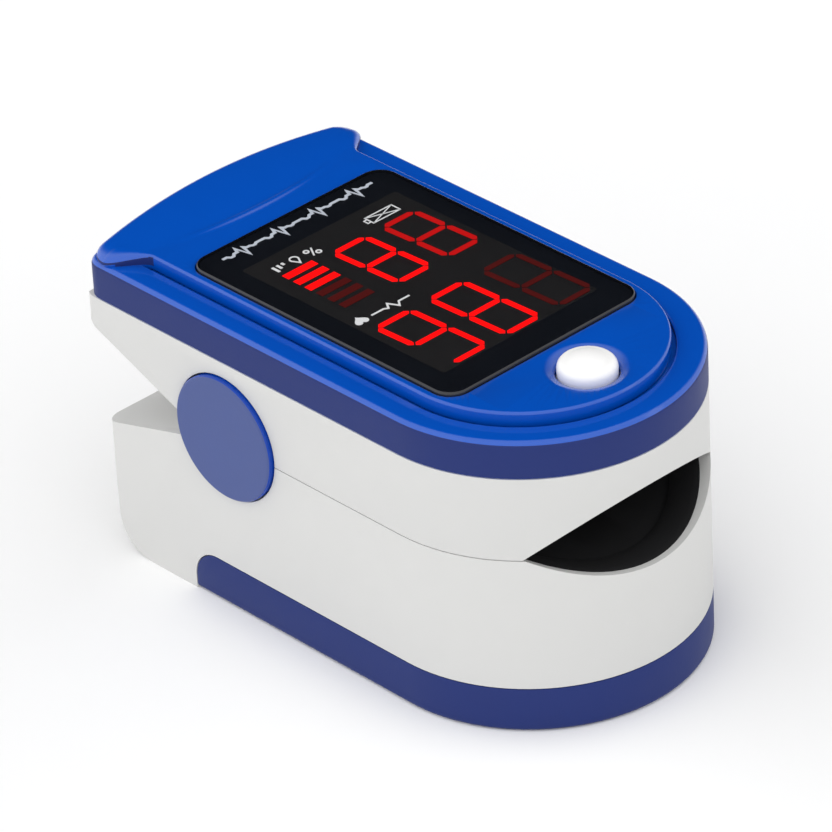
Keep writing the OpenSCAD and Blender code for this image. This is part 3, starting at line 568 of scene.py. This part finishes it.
deck_mesh = bmesh.new()
fill(deck_mesh, [top_loop, pocket_rim, hole_rim], spread, deck_height)
wall(deck_mesh, wall_rings)
pocket_rings = [
    [Vector((*p, deck)) for p in pocket_rim],
    [Vector((*(p + outward(pocket, i) * 0.03 * mm), deck - 0.04 * mm)) for i, p in enumerate(pocket)],
    [Vector((*p, deck - 0.14 * mm)) for p in pocket],
    [Vector((*p, deck_foot)) for p in pocket]]
wall(deck_mesh, pocket_rings)
hole = circle(button_middle, button_hole, 48)
hole_top = deck - dish_depth
hole_rings = [
    [Vector((*p, deck_height(*p))) for p in hole_rim],
    [Vector((*p, hole_top - 0.1 * mm)) for p in hole],
    [Vector((*p, deck_foot)) for p in hole]]
wall(deck_mesh, hole_rings)
foot_loop = [Vector(p[:2]) for p in wall_rings[0]]
fill(deck_mesh, [foot_loop, pocket, hole], [], lambda x, y: deck_foot)
bmesh.ops.remove_doubles(deck_mesh, verts=deck_mesh.verts, dist=0.002 * mm)
loose = [v for v in deck_mesh.verts if not v.link_faces]
bmesh.ops.delete(deck_mesh, geom=loose, context="VERTS")
deck_piece = finish_mesh("top_cover_deck", deck_mesh, 34)
# Steep faces of the tail take the darker blue as painted shade.
for face in deck_piece.data.polygons:
    if abs(face.normal.z) < 0.35 and face.center.x < flare_start and face.center.z > ledge:
        face.material_index = 1
fit(deck_piece, "upper_half", [cover_blue, wall_blue_painted_shade])

# Display lens: a clear smoked acrylic sheet with polished, bevelled edges, glued into the
# pocket of the deck. Its edge and its underside outside the window are printed black.
lens_top = lens_high.z
lens_size = lens_high - lens_low
sheet_low = lens_top - 0.2 * mm
lens_section = [(0.0, deck - 0.3 * mm), (0.0, lens_top - 0.16 * mm), (0.05 * mm, lens_top - 0.07 * mm),
                (0.14 * mm, lens_top - 0.02 * mm), (0.3 * mm, lens_top)]


def box_ring(size, inset, radius, height, centre):
    """Rounded rectangle about a centre, as one ring of a skin."""
    return [Vector((p.x + centre.x, p.y + centre.y, height))
            for p in rounded_box(size.x - 2 * inset, size.y - 2 * inset, max(radius - inset, 0.1 * mm))]


smoked = moulding("smoked acrylic", (0.004, 0.005, 0.008), 0.05, mottle=0.1, relief=0.0002 * mm, gloss=0.35)
smoked.node_tree.nodes["Principled BSDF"].inputs["Alpha"].default_value = 0.16
# Its paler edges are a painted highlight on the bevel of the lens.
edge_black = moulding("polished black edge", (0.005, 0.006, 0.010), 0.16, mottle=0.1, relief=0.0005 * mm,
                      gloss=0.6, edge_wear_and_highlight=0.05)
lens_rings = [box_ring(lens_size, inset, 2 * mm, z, lens_middle) for inset, z in lens_section]
lens_rings.insert(0, box_ring(lens_size, 0.3 * mm, 2 * mm, sheet_low, lens_middle))
lens_piece = skin("display_lens_sheet", lens_rings)
for face in lens_piece.data.polygons:
    if abs(face.normal.z) < 0.98 or face.center.z < deck:
        face.material_index = 1
fit(lens_piece, "upper_half", [smoked, edge_black], ["display_lens"])

# Display block: the black moulded body of the LED display, with its printed mask and the
# grey diffusing window that the segments shine through.
block_low, block_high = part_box("display_block")
block_middle = (block_low + block_high) / 2
block_size = block_high - block_low
mask_top = sheet_low - 0.04 * mm
window_low = Vector((-13.8 * mm, -9.2 * mm))
window_high = Vector((12.0 * mm, 9.7 * mm))
window_top = mask_top + 0.02 * mm
mask_black = moulding("black mask print", (0.0045, 0.006, 0.010), 0.4, mottle=0.1, grain_size=0.1 * mm,
                      relief=0.001 * mm, gloss=0.2)
window_grey = moulding("grey diffuser film", (0.0175, 0.0165, 0.0165), 0.6, mottle=0.15, grain_size=0.08 * mm,
                       relief=0.002 * mm, gloss=0.1)
block_section = ((0.3 * mm, block_low.z), (0, block_low.z + 0.3 * mm), (0, mask_top - 0.4 * mm),
                 (0.2 * mm, mask_top - 0.2 * mm))
block_rings = [box_ring(block_size, inset, 0.8 * mm, z, block_middle) for inset, z in block_section]
block_piece = skin("display_block_body", block_rings)
fit(block_piece, "upper_half", [mask_black], ["display_block"])
mask_rings = [box_ring(lens_size, 0.25 * mm, 2 * mm, z, lens_middle) for z in (mask_top - 0.2 * mm, mask_top)]
fit(skin("display_mask", mask_rings), "upper_half", [mask_black])
window_size = window_high - window_low
window_middle = (window_low + window_high) / 2
window_section = ((0, mask_top - 0.1 * mm), (0, window_top - 0.01 * mm), (0.02 * mm, window_top))
window_rings = [box_ring(window_size, inset, 0.3 * mm, z, window_middle) for inset, z in window_section]
fit(skin("display_window", window_rings), "upper_half", [window_grey])

# Digit segments: the red epoxy bars of the display. Each is a mitred bar that glows fully,
# weakly, or hardly at all, as the reading changes.
segment = 0.78 * mm
upper_digit = Vector((8.7 * mm, 4.6 * mm))
lower_digit = Vector((9.9 * mm, 4.8 * mm))
slant = 0.45 * mm
corner_cut = 0.85 * mm
segment_low = window_top
segment_high = window_top + 0.05 * mm
lower_row = 6.85 * mm
upper_row = -5.9 * mm


def shrunk(outline, gap):
    """The same outline with every side moved in by a gap."""
    corners = []
    for i, point in enumerate(outline):
        arrive = (point - outline[i - 1]).normalized()
        leave = (outline[(i + 1) % len(outline)] - point).normalized()
        turn = arrive.x * leave.y - arrive.y * leave.x
        corners.append(point + (leave - arrive) * gap / abs(turn))
    return corners


def plate(mesh, outline, low_z, high_z):
    """Adds a flat piece with straight sides from its outline."""
    lower = [mesh.verts.new((p.x, p.y, low_z)) for p in outline]
    upper = [mesh.verts.new((p.x, p.y, high_z)) for p in outline]
    cap_ends(mesh, (lower, upper))
    join(mesh, lower, upper)


def digit(mesh, size, x, y, lit="abcdefg"):
    """Adds the lit bars of one digit. Its top points to the nose, and it reads from +Y to -Y."""
    gap = 0.085 * mm
    long, wide, t, cut = size.x / 2, size.y / 2, segment, corner_cut
    end = ((long, wide - cut), (long - cut / 2, wide - cut / 2), (long - t, wide - t), (long - t, t - wide),
           (long - cut / 2, cut / 2 - wide), (long, cut - wide))
    side = ((long - cut, wide), (cut / 2, wide), (0, wide - cut / 2), (t / 2, wide - t), (long - t, wide - t),
            (long - cut / 2, wide - cut / 2))
    middle = ((0, wide - cut / 2), (-t / 2, wide - t), (-t / 2, t - wide), (0, cut / 2 - wide),
              (t / 2, t - wide), (t / 2, wide - t))
    bars = {"a": (end, 1, 1), "d": (end, -1, 1), "g": (middle, 1, 1), "f": (side, 1, 1), "b": (side, 1, -1),
            "e": (side, -1, 1), "c": (side, -1, -1)}
    for name in lit:
        shape, flip_x, flip_y = bars[name]
        outline = shrunk([Vector((px * flip_x, py * flip_y)) for px, py in shape], gap)
        if flip_x * flip_y < 0:
            outline.reverse()
        leaned = [Vector((x + p.x, y + p.y + slant * p.x / size.x)) for p in outline]
        plate(mesh, leaned, segment_low, segment_high)


def glow(name, colour, power):
    """Red epoxy that gives its own light, a little uneven along each bar."""
    material = moulding(name, (0.05, 0.003, 0.003), 0.5, mottle=0.2, gloss=0.1)
    nodes, links = material.node_tree.nodes, material.node_tree.links
    shader = nodes["Principled BSDF"]
    uneven = nodes.new("ShaderNodeTexNoise")
    uneven.inputs["Scale"].default_value = 1 / (0.6 * mm)
    red = nodes.new("ShaderNodeMix")
    red.data_type = "RGBA"
    set_inputs(red, {"A": (*(c * 0.85 for c in colour), 1), "B": (*colour, 1)})
    links.new(uneven.outputs["Fac"], red.inputs["Factor"])
    links.new(red.outputs["Result"], shader.inputs["Emission Color"])
    shader.inputs["Emission Strength"].default_value = power
    return material


bright_mesh, dim_mesh, faint_mesh = bmesh.new(), bmesh.new(), bmesh.new()
digit(bright_mesh, upper_digit, upper_row, 0.45 * mm)
digit(bright_mesh, lower_digit, lower_row, 0.75 * mm)
digit(bright_mesh, lower_digit, lower_row, -5.75 * mm, "acdefg")
digit(dim_mesh, upper_digit, upper_row, 6.55 * mm)
digit(faint_mesh, lower_digit, lower_row, 7.25 * mm)
level_bar = Vector((0.85 * mm, 3.6 * mm))
level_pitch = 1.46 * mm
for i in range(6):
    centre = Vector((-10.0 * mm + i * level_pitch, -5.65 * mm))
    corners = [centre + corner for corner in box_corners(level_bar.x / 2, level_bar.y / 2)]
    plate(bright_mesh if i < 3 else faint_mesh, corners, segment_low, segment_high)
for name, mesh, colour, power, replaced in (("bright", bright_mesh, (1, 0.0, 0.0), 1.6, ["digit_segments"]),
                                            ("dim", dim_mesh, (1, 0.004, 0.004), 0.62, []),
                                            ("faint", faint_mesh, (1, 0.05, 0.03), 0.042, [])):
    red_light = glow(name + " red", colour, power)
    fit(finish_mesh("segments_" + name, mesh), "upper_half", [red_light], replaced)

# White marks: a pulse trace along the top of the lens, and small signs for oxygen, pulse and
# battery beside the digits. They are screen printed in white behind the lens.
mark_white = moulding("white print", (0.93, 0.94, 0.96), 0.6, mottle=0.05, gloss=0.1, grain_size=0.1 * mm)
mark_soft = moulding("pale print", (0.66, 0.71, 0.80), 0.6, mottle=0.05, gloss=0.1, grain_size=0.1 * mm)


def stroke(mesh, points, width, closed=False):
    """Adds a printed line of even width through the points."""
    count = len(points)
    left, right_side = [], []
    for i, point in enumerate(points):
        before = points[i - 1] if closed or i else point
        after = points[(i + 1) % count] if closed or i < count - 1 else point
        arrive = (point - before).normalized() if (point - before).length else (after - point).normalized()
        leave = (after - point).normalized() if (after - point).length else arrive
        middle_way = (arrive + leave).normalized()
        across = Vector((-middle_way.y, middle_way.x))
        reach = width / 2 / max(across.dot(Vector((-leave.y, leave.x))), 0.45)
        left.append(point + across * reach)
        right_side.append(point - across * reach)
    for i in range(count if closed else count - 1):
        j = (i + 1) % count
        plate(mesh, [right_side[i], right_side[j], left[j], left[i]], window_top, segment_high)


def arc(centre, radius, first, last, count):
    """Points round part of a circle, with both of its ends."""
    return [Vector((centre.x + radius * math.cos(a), centre.y + radius * math.sin(a)))
            for a in (math.radians(first + (last - first) * i / count) for i in range(count + 1))]


trace_mesh = bmesh.new()
beat = [(0, 0), (0.12, 0), (0.17, 0.16), (0.23, 0.16), (0.28, 0), (0.36, 0), (0.41, -0.25), (0.48, 1),
        (0.56, -0.6), (0.61, 0), (0.70, 0), (0.76, 0.28), (0.83, 0.28), (0.89, 0)]
trace_line = -16.45 * mm
trace_start, trace_length, trace_height, beats = 9.3 * mm, 18.4 * mm, 1.05 * mm, 4
trace = [Vector((trace_line + rise * trace_height, trace_start - (i + t) * trace_length / beats))
         for i in range(beats) for t, rise in beat]
trace.append(Vector((trace_line, trace_start - trace_length)))
stroke(trace_mesh, trace, 0.3 * mm)
fit(finish_mesh("mark_pulse_trace", trace_mesh), "upper_half", [mark_soft])

signs = bmesh.new()
line = 0.16 * mm
percent = Vector((-11.5 * mm, -2.75 * mm))
stroke(signs, [percent + Vector((-0.6 * mm, 0.35 * mm)), percent + Vector((0.6 * mm, -0.35 * mm))], line)
for sx, sy in ((0.38, 0.42), (-0.38, -0.42)):
    stroke(signs, arc(percent + Vector((sx * mm, sy * mm)), 0.24 * mm, 0, 330, 11), line, closed=True)
drop = Vector((-11.75 * mm, -4.75 * mm))
drop_line = arc(drop, 0.42 * mm, 50, 310, 18)
drop_line.append(drop + Vector((0.85 * mm, 0)))
stroke(signs, drop_line, line, closed=True)
for i in range(3):
    y = -6.0 * mm - i * 0.55 * mm
    stroke(signs, [Vector((-12.1 * mm, y)), Vector((-12.1 * mm + (0.4 + 0.3 * i) * mm, y))], 0.26 * mm)
pulse = [(0, 0), (0.28, 0), (0.38, 0.75), (0.5, -0.55), (0.6, 0.3), (0.68, 0), (1, 0)]
stroke(signs, [Vector((0.4 * mm + rise * 0.8 * mm, (-2.2 - 4.6 * t) * mm)) for t, rise in pulse], line * 1.2)
heart_middle = Vector((0.35 * mm, -8.05 * mm))
heart_size = 0.045 * mm
heart = []
for i in range(36):
    a = 2 * math.pi * i / 36
    tall = 13 * math.cos(a) - 5 * math.cos(2 * a) - 2 * math.cos(3 * a) - math.cos(4 * a)
    heart.append(heart_middle + Vector((tall * heart_size, 16 * math.sin(a) ** 3 * heart_size)))
plate(signs, heart, window_top, segment_high)
battery = Vector((-11.65 * mm, 6.05 * mm))
half_x, half_y = 0.6 * mm, 1.65 * mm
corners = [battery + corner for corner in box_corners(half_x, half_y)]
stroke(signs, corners, 0.12 * mm, closed=True)
stroke(signs, [corners[0], corners[2]], 0.1 * mm)
stroke(signs, [corners[1], corners[3]], 0.1 * mm)
nub = ((-1, 0.05), (-1, 0.4), (1, 0.4), (1, 0.05))
stroke(signs, [battery + Vector((x * 0.28 * mm, -half_y - y * mm)) for x, y in nub], 0.12 * mm)
fit(finish_mesh("mark_signs", signs), "upper_half", [mark_white])

# Power button: a glossy white push button with a soft crown and a rounded edge. It rides in
# the round hole of the deck and presses the key switch.
button_radius = 2.7 * mm
button_top = button_high.z + 0.5 * mm
button_white = moulding("white ABS, polished", (0.94, 0.935, 0.93), 0.25, mottle=0.01, relief=0.0006 * mm,
                        gloss=0.35)


def turned(name, section, axis_point, axis, count):
    """Round piece from (radius, height) points of its section, turned about an axis."""
    mesh = bmesh.new()
    to_axis = Vector((0, 0, 1)).rotation_difference(axis).to_matrix()
    loops = []
    for radius, height in section:
        angles = [2 * math.pi * i / count for i in range(count if radius else 1)]
        ring = [Vector((radius * math.cos(a), radius * math.sin(a), height)) for a in angles]
        loops.append([mesh.verts.new(axis_point + to_axis @ point) for point in ring])
    for lower, upper in zip(loops, loops[1:]):
        for i in range(count):
            j = (i + 1) % count
            corners = [lower[i % len(lower)], lower[j % len(lower)],
                       upper[j % len(upper)], upper[i % len(upper)]]
            mesh.faces.new(list(dict.fromkeys(corners)))
    return finish_mesh(name, mesh)


def rolled_edge(radius, top, edge, count):
    """Points of a rounded rim in a turned section, from its side round to its top."""
    return [(radius - edge * (1 - math.cos(a)), top - edge * (1 - math.sin(a)))
            for a in (math.radians(90 * i / count) for i in range(1, count + 1))]


button_edge = 0.85 * mm
crown = 0.42 * mm
flange_low = deck_foot - 1.2 * mm
flange_high = deck_foot - 0.4 * mm
section = [(0, button_low.z), (1.0 * mm, button_low.z), (1.0 * mm, flange_low), (3.3 * mm, flange_low),
           (3.3 * mm, flange_high), (button_radius, flange_high),
           (button_radius, button_top - crown - button_edge)]
section += rolled_edge(button_radius, button_top - crown, button_edge, 7)
for radius in (1.6 * mm, 1.2 * mm, 0.8 * mm, 0.4 * mm, 0):
    section.append((radius, button_top - crown * (radius / (button_radius - button_edge)) ** 2))
button_axis = Vector((button_middle.x, button_middle.y, 0))
button = turned("power_button_cap", section, button_axis, Vector((0, 0, 1)), 72)
fit(button, "button", [button_white], ["power_button"])

# Circuit boards: green glass-fibre boards with copper tracks under the solder mask. The main
# board is screwed under the deck; small ones carry the emitter and the sensor.
board_green = moulding("green solder mask", (0.012, 0.11, 0.04), 0.35, mottle=0.15, relief=0.004 * mm,
                       gloss=0.4)
board_nodes, board_links = board_green.node_tree.nodes, board_green.node_tree.links
tracks = board_nodes.new("ShaderNodeTexBrick")
set_inputs(tracks, {"Scale": 260, "Color1": (0.012, 0.11, 0.04, 1), "Color2": (0.02, 0.14, 0.05, 1),
                    "Mortar": (0.05, 0.22, 0.07, 1), "Mortar Size": 0.06})
board_place = board_nodes.new("ShaderNodeTexCoord")
board_links.new(board_place.outputs["Object"], tracks.inputs["Vector"])
board_links.new(tracks.outputs["Color"], board_nodes["Principled BSDF"].inputs["Base Color"])
for node in ("main_board", "emitter_board", "sensor_board"):
    dress(node, board_green, 0.08 * mm)

# Components on the boards: black epoxy chips, a drawn steel crystal can, and the black key
# switch under the button. They are soldered to the main board.
chip_black = moulding("black epoxy", (0.016, 0.016, 0.018), 0.55, mottle=0.2, relief=0.006 * mm,
                      grain_size=0.1 * mm)
can_steel = moulding("drawn steel can", (0.58, 0.58, 0.60), 0.3, metallic=1.0, relief=0.003 * mm)
switch_black = moulding("switch body", (0.03, 0.03, 0.032), 0.5, mottle=0.15, relief=0.004 * mm)
for node in ("processor_chip", "amplifier_chip"):
    dress(node, chip_black, 0.08 * mm)
dress("clock_crystal", can_steel, 0.12 * mm)
dress("key_switch", switch_black, 0.08 * mm)

# Light path: a red and infra-red emitter on gold pins shines through a clear window in the
# upper pad, and a dark photodiode looks through another in the lower pad.
clear_acrylic = moulding("clear acrylic", (0.75, 0.80, 0.85), 0.08, mottle=0.03, relief=0.0005 * mm)
clear_acrylic.node_tree.nodes["Principled BSDF"].inputs["Alpha"].default_value = 0.4
ceramic = moulding("white ceramic", (0.72, 0.66, 0.58), 0.45, mottle=0.06)
gold = moulding("gold flash", (0.75, 0.52, 0.18), 0.25, metallic=1.0, relief=0.002 * mm)
dark_epoxy = moulding("dark epoxy", (0.018, 0.014, 0.028), 0.2, mottle=0.2, relief=0.001 * mm)
for node in ("emitter_window", "sensor_window"):
    dress(node, clear_acrylic, 0.1 * mm)
dress("emitter_led", ceramic, 0.1 * mm)
dress("emitter_pins", gold, 0)
dress("photodiode", dark_epoxy, 0.1 * mm)

# Wiring: the sensor's red leads run from the lower half to the main board through the hinge,
# and the battery's blue leads run beside them. Both are PVC-insulated stranded wire, and both
# bend at the hinge when the clip opens.
lead_radius = 0.3 * mm
lead_bend = 1 * mm
sensor_low, sensor_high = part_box("sensor_leads")
supply_low, supply_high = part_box("battery_leads")
sensor_level = sensor_low.z + lead_radius
supply_level = sensor_level - 0.8 * mm
supply_bend = 0.5 * mm
pin_low, pin_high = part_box("hinge_pin")
hinge_level = (pin_low.z + pin_high.z) / 2


def straight(start, end, step=0.5 * mm):
    """Points along a straight stretch, with both of its ends."""
    count = max(round((end - start).length / step), 1)
    return [start + (end - start) * i / count for i in range(count)] + [end]


def bent(corners, radii):
    """Points along a route through its corners, with a round bend of its own radius at each."""
    route = []
    start = corners[0]
    for i, radius in enumerate(radii, 1):
        arrive = (corners[i] - corners[i - 1]).normalized() * radius
        leave = (corners[i + 1] - corners[i]).normalized() * radius
        route += straight(start, corners[i] - arrive)
        for a in (math.radians(15 * k) for k in range(1, 6)):
            route.append(corners[i] + leave * (1 - math.cos(a)) - arrive * (1 - math.sin(a)))
        start = corners[i] + leave
    return route + straight(start, corners[-1])


def lead(mesh, route, radius=lead_radius, sides=12):
    """Adds one round lead or wire along its route."""
    rings = []
    for i, point in enumerate(route):
        along = (route[min(i + 1, len(route) - 1)] - route[max(i - 1, 0)]).normalized()
        across = (Vector((0, 1, 0)) - along * along.y).normalized()
        up = along.cross(across)
        rings.append([point + (across * math.cos(a) + up * math.sin(a)) * radius
                      for a in (2 * math.pi * k / sides for k in range(sides))])
    cap_ends(mesh, wall(mesh, rings))


def fit_across_hinge(piece, node):
    """Sets a piece that crosses the hinge in place, with its placement baked into its mesh, and hides the
    node that it replaces.
    """
    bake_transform(piece)
    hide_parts(node)


sensor_mesh, supply_mesh = bmesh.new(), bmesh.new()
rise_x = sensor_low.x + lead_radius
for y in (sensor_low.y + lead_radius, 0, sensor_high.y - lead_radius):
    corners = [Vector((x, y, z)) for x, z in ((sensor_high.x, sensor_level), (rise_x, sensor_level),
                                              (rise_x, sensor_high.z))]
    lead(sensor_mesh, bent(corners, [lead_bend]))
rise_x = supply_high.x - lead_radius
foot_x = supply_low.x + lead_radius
for y in (supply_low.y + lead_radius, supply_high.y - lead_radius):
    corners = [Vector((x, y, z)) for x, z in ((foot_x, supply_low.z), (foot_x, supply_level),
                                              (rise_x, supply_level), (rise_x, supply_high.z))]
    lead(supply_mesh, bent(corners, [supply_bend, lead_bend]))
for node, slot, name, colour, mesh in (
        ("sensor_leads", "lead_red", "red PVC", (0.42, 0.015, 0.015), sensor_mesh),
        ("battery_leads", "lead_blue", "blue PVC", (0.02, 0.03, 0.36), supply_mesh)):
    piece = finish_mesh(node + "_wires", mesh)
    sleeve = moulding(name, colour, 0.45, mottle=0.1, relief=0.004 * mm, grain_size=0.3 * mm)
    piece.data.materials.append(sleeve)
    fit_across_hinge(piece, node)

# Screws: four zinc-plated pan-head screws that hold the upper shell to the top cover. Their
# plating is slightly mottled.
screw_zinc = moulding("zinc plate", (0.56, 0.56, 0.58), 0.32, mottle=0.12, metallic=1.0, relief=0.004 * mm,
                      edge_wear_and_highlight=0.2)
dress("upper_screws", screw_zinc, 0.1 * mm)

# Hinge caps: two blue ABS discs pressed on the ends of the hinge pin. Their faces are finely
# textured, in a paler, greyer blue that is a painted sheen, and their rims are polished, with a small rounded
# edge.
cap_rim_blue = moulding("blue ABS, polished rim", paint(0, 60, 165), 0.22, mottle=0.03, relief=0.001 * mm,
                        gloss=0.3)
# The face is paler and greyer than the rim: a painted sheen of the white surroundings on the same blue.
cap_face_blue_painted_sheen = moulding("blue ABS, fine texture, painted sheen", (0.066, 0.095, 0.262), 0.5, mottle=0.06,
                         grain_size=0.22 * mm, relief=0.008 * mm, gloss=0.25)
cap_edge = 0.3 * mm
for node, side in (("hinge_cap_left", 1), ("hinge_cap_right", -1)):
    cap_low, cap_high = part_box(node)
    cap_middle = (cap_low + cap_high) / 2
    cap_radius = (cap_high.z - cap_low.z) / 2
    face = max(abs(cap_low.y), abs(cap_high.y))
    foot = min(abs(cap_low.y), abs(cap_high.y))
    section = [(0, foot + 0.5 * mm), (1.3 * mm, foot + 0.5 * mm), (1.3 * mm, foot), (2.4 * mm, foot),
               (2.4 * mm, foot + 1.1 * mm), (cap_radius - 0.1 * mm, foot + 1.15 * mm),
               (cap_radius, foot + 1.25 * mm), (cap_radius, face - cap_edge)]
    section += rolled_edge(cap_radius, face, cap_edge, 6)
    section += [(cap_radius - 0.5 * mm, face), (cap_radius * 0.6, face), (cap_radius * 0.3, face), (0, face)]
    cap = turned(node + "_disc", section, Vector((cap_middle.x, 0, cap_middle.z)), Vector((0, side, 0)), 96)
    for polygon in cap.data.polygons:
        if abs(polygon.normal.y) < 0.75:
            polygon.material_index = 1
    fit(cap, "lower_half", [cap_face_blue_painted_sheen, cap_rim_blue], [node])

# Hinge pin and springs: a ground steel pin through both halves, and two torsion springs of
# drawn wire that close the clip.
pin_steel = moulding("ground steel", (0.58, 0.58, 0.60), 0.22, mottle=0.08, metallic=1.0, relief=0.002 * mm,
                     grain_size=0.1 * mm)
spring_steel = moulding("drawn spring wire", (0.55, 0.55, 0.57), 0.28, mottle=0.1, metallic=1.0,
                        relief=0.003 * mm, grain_size=0.15 * mm)
dress("hinge_pin", pin_steel, 0.15 * mm)
for node in ("bridge_spring", "negative_spring"):
    dress(node, spring_steel, 0)
spring_wire = 0.4 * mm
spring_turns = 4
turn_steps = 24
leg_gap = 0.6 * mm
for node, side in (("hinge_spring_left", 1), ("hinge_spring_right", -1)):
    spring_low, spring_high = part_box(node)
    coil_x = (spring_low.x + spring_high.x) / 2
    coil_radius = (spring_high.x - spring_low.x) / 2 - spring_wire
    outer_y = side * (max(abs(spring_low.y), abs(spring_high.y)) - spring_wire)
    inner_y = side * (min(abs(spring_low.y), abs(spring_high.y)) + spring_wire)
    leg_x = coil_x + coil_radius
    outer_leg, inner_leg = (
        straight(Vector((leg_x, y, start)), Vector((leg_x, y, end)))
        for y, start, end in ((outer_y, spring_high.z, hinge_level + leg_gap),
                              (inner_y, hinge_level - leg_gap, spring_low.z)))
    coil = []
    for i in range(turn_steps * spring_turns + 1):
        a = 2 * math.pi * i / turn_steps
        y = outer_y + (inner_y - outer_y) * i / (turn_steps * spring_turns)
        coil.append(Vector((coil_x + coil_radius * math.cos(a), y, hinge_level - coil_radius * math.sin(a))))
    spring_mesh = bmesh.new()
    lead(spring_mesh, outer_leg[:-1] + coil + inner_leg, spring_wire)
    spring = finish_mesh(node + "_coil", spring_mesh)
    spring.data.materials.append(spring_steel)
    fit_across_hinge(spring, node)

# Battery contacts: bent strips of nickel-plated steel that slide into slots in the lower
# shell. The long bridge joins the two cells at the nose.
nickel = moulding("nickel plate", (0.62, 0.61, 0.57), 0.24, mottle=0.1, metallic=1.0, relief=0.002 * mm,
                  edge_wear_and_highlight=0.1)
for node in ("bridge_contact", "positive_contact", "negative_contact"):
    dress(node, nickel, 0.06 * mm)

# Batteries: two AAA cells side by side, laid head to tail. Each has a black sleeve with a
# copper band towards the nose, and bare steel ends.
cell_low, cell_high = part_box("battery_left")
cell_wrap = moulding("battery sleeve", (0.02, 0.02, 0.024), 0.3, mottle=0.1, relief=0.002 * mm)
wrap_nodes, wrap_links = cell_wrap.node_tree.nodes, cell_wrap.node_tree.links
wrap_place = wrap_nodes.new("ShaderNodeTexCoord")
wrap_split = wrap_nodes.new("ShaderNodeSeparateXYZ")
wrap_along = wrap_nodes.new("ShaderNodeMapRange")
set_inputs(wrap_along, {"From Min": cell_low.x, "From Max": cell_high.x})
bands = wrap_nodes.new("ShaderNodeValToRGB")
bands.color_ramp.interpolation = "CONSTANT"
steel_band = (0.5, 0.5, 0.5, 1)
bands.color_ramp.elements[0].position = 0.0
bands.color_ramp.elements[0].color = steel_band
bands.color_ramp.elements[1].position = 0.03
bands.color_ramp.elements[1].color = (0.02, 0.02, 0.024, 1)
for position, colour in ((0.72, (0.45, 0.20, 0.07, 1)), (0.97, steel_band)):
    bands.color_ramp.elements.new(position).color = colour
wire(wrap_links, (wrap_place, "Object", wrap_split, 0), (wrap_split, "X", wrap_along, "Value"),
                 (wrap_along, "Result", bands, "Fac"),
                 (bands, "Color", wrap_nodes["Principled BSDF"], "Base Color"))
for node in ("battery_left", "battery_right"):
    dress(node, cell_wrap, 0.25 * mm)

# Battery cover: the blue base of the clip, moulded in textured ABS, drawn in the darker blue of
# the walls as painted shade. It slides on rails from the nose end, and its round rear corner meets the shell.
dress("battery_cover", wall_blue_painted_shade, 0.3 * mm, 3)

# Pad lips: the black silicone of each finger pad turns over the moulded edge of the finger
# opening. One strip lines the arch of the upper shell, and one the scoop of the lower shell.
opening_half = 11.65 * mm
arch_rise = 5.0 * mm
scoop_drop = 3.4 * mm
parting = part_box("upper_finger_pad")[0].z - 0.05 * mm
lip_section = ((0.0, -0.2), (0.0, 0.03), (0.12, 0.07), (0.8, 0.07), (2.2, 0.05), (2.9, -0.12), (2.9, -0.5))


def pad_lip(name, depth, direction, front_inset):
    """Strip along one arc of the opening, from just behind the outer face to the pad."""
    radius = (opening_half ** 2 + depth ** 2) / (2 * depth)
    axis_z = parting + direction * (depth - radius)
    reach = opening_half - 0.25 * mm
    rings = []
    for i in range(61):
        y = reach * (2 * i / 60 - 1)
        z = axis_z + direction * math.sqrt(radius ** 2 - y ** 2)
        lift = Vector((0, -y, axis_z - z)).normalized()
        front = front_inset * (1 + 0.8 * (y / reach) ** 2)
        ring = []
        for back_step, height in lip_section:
            inset = front + back_step * mm
            x = nose_x + math.sqrt((half_width - inset) ** 2 - y ** 2)
            ring.append(Vector((x, y, z)) + lift * height * mm)
        rings.append(ring)
    return skin(name, rings)


fit(pad_lip("lower_pad_lip", scoop_drop, -1, 0.6 * mm), "lower_half", [pad_black])
fit(pad_lip("upper_pad_lip", arch_rise, 1, 0.7 * mm), "upper_half", [pad_black])
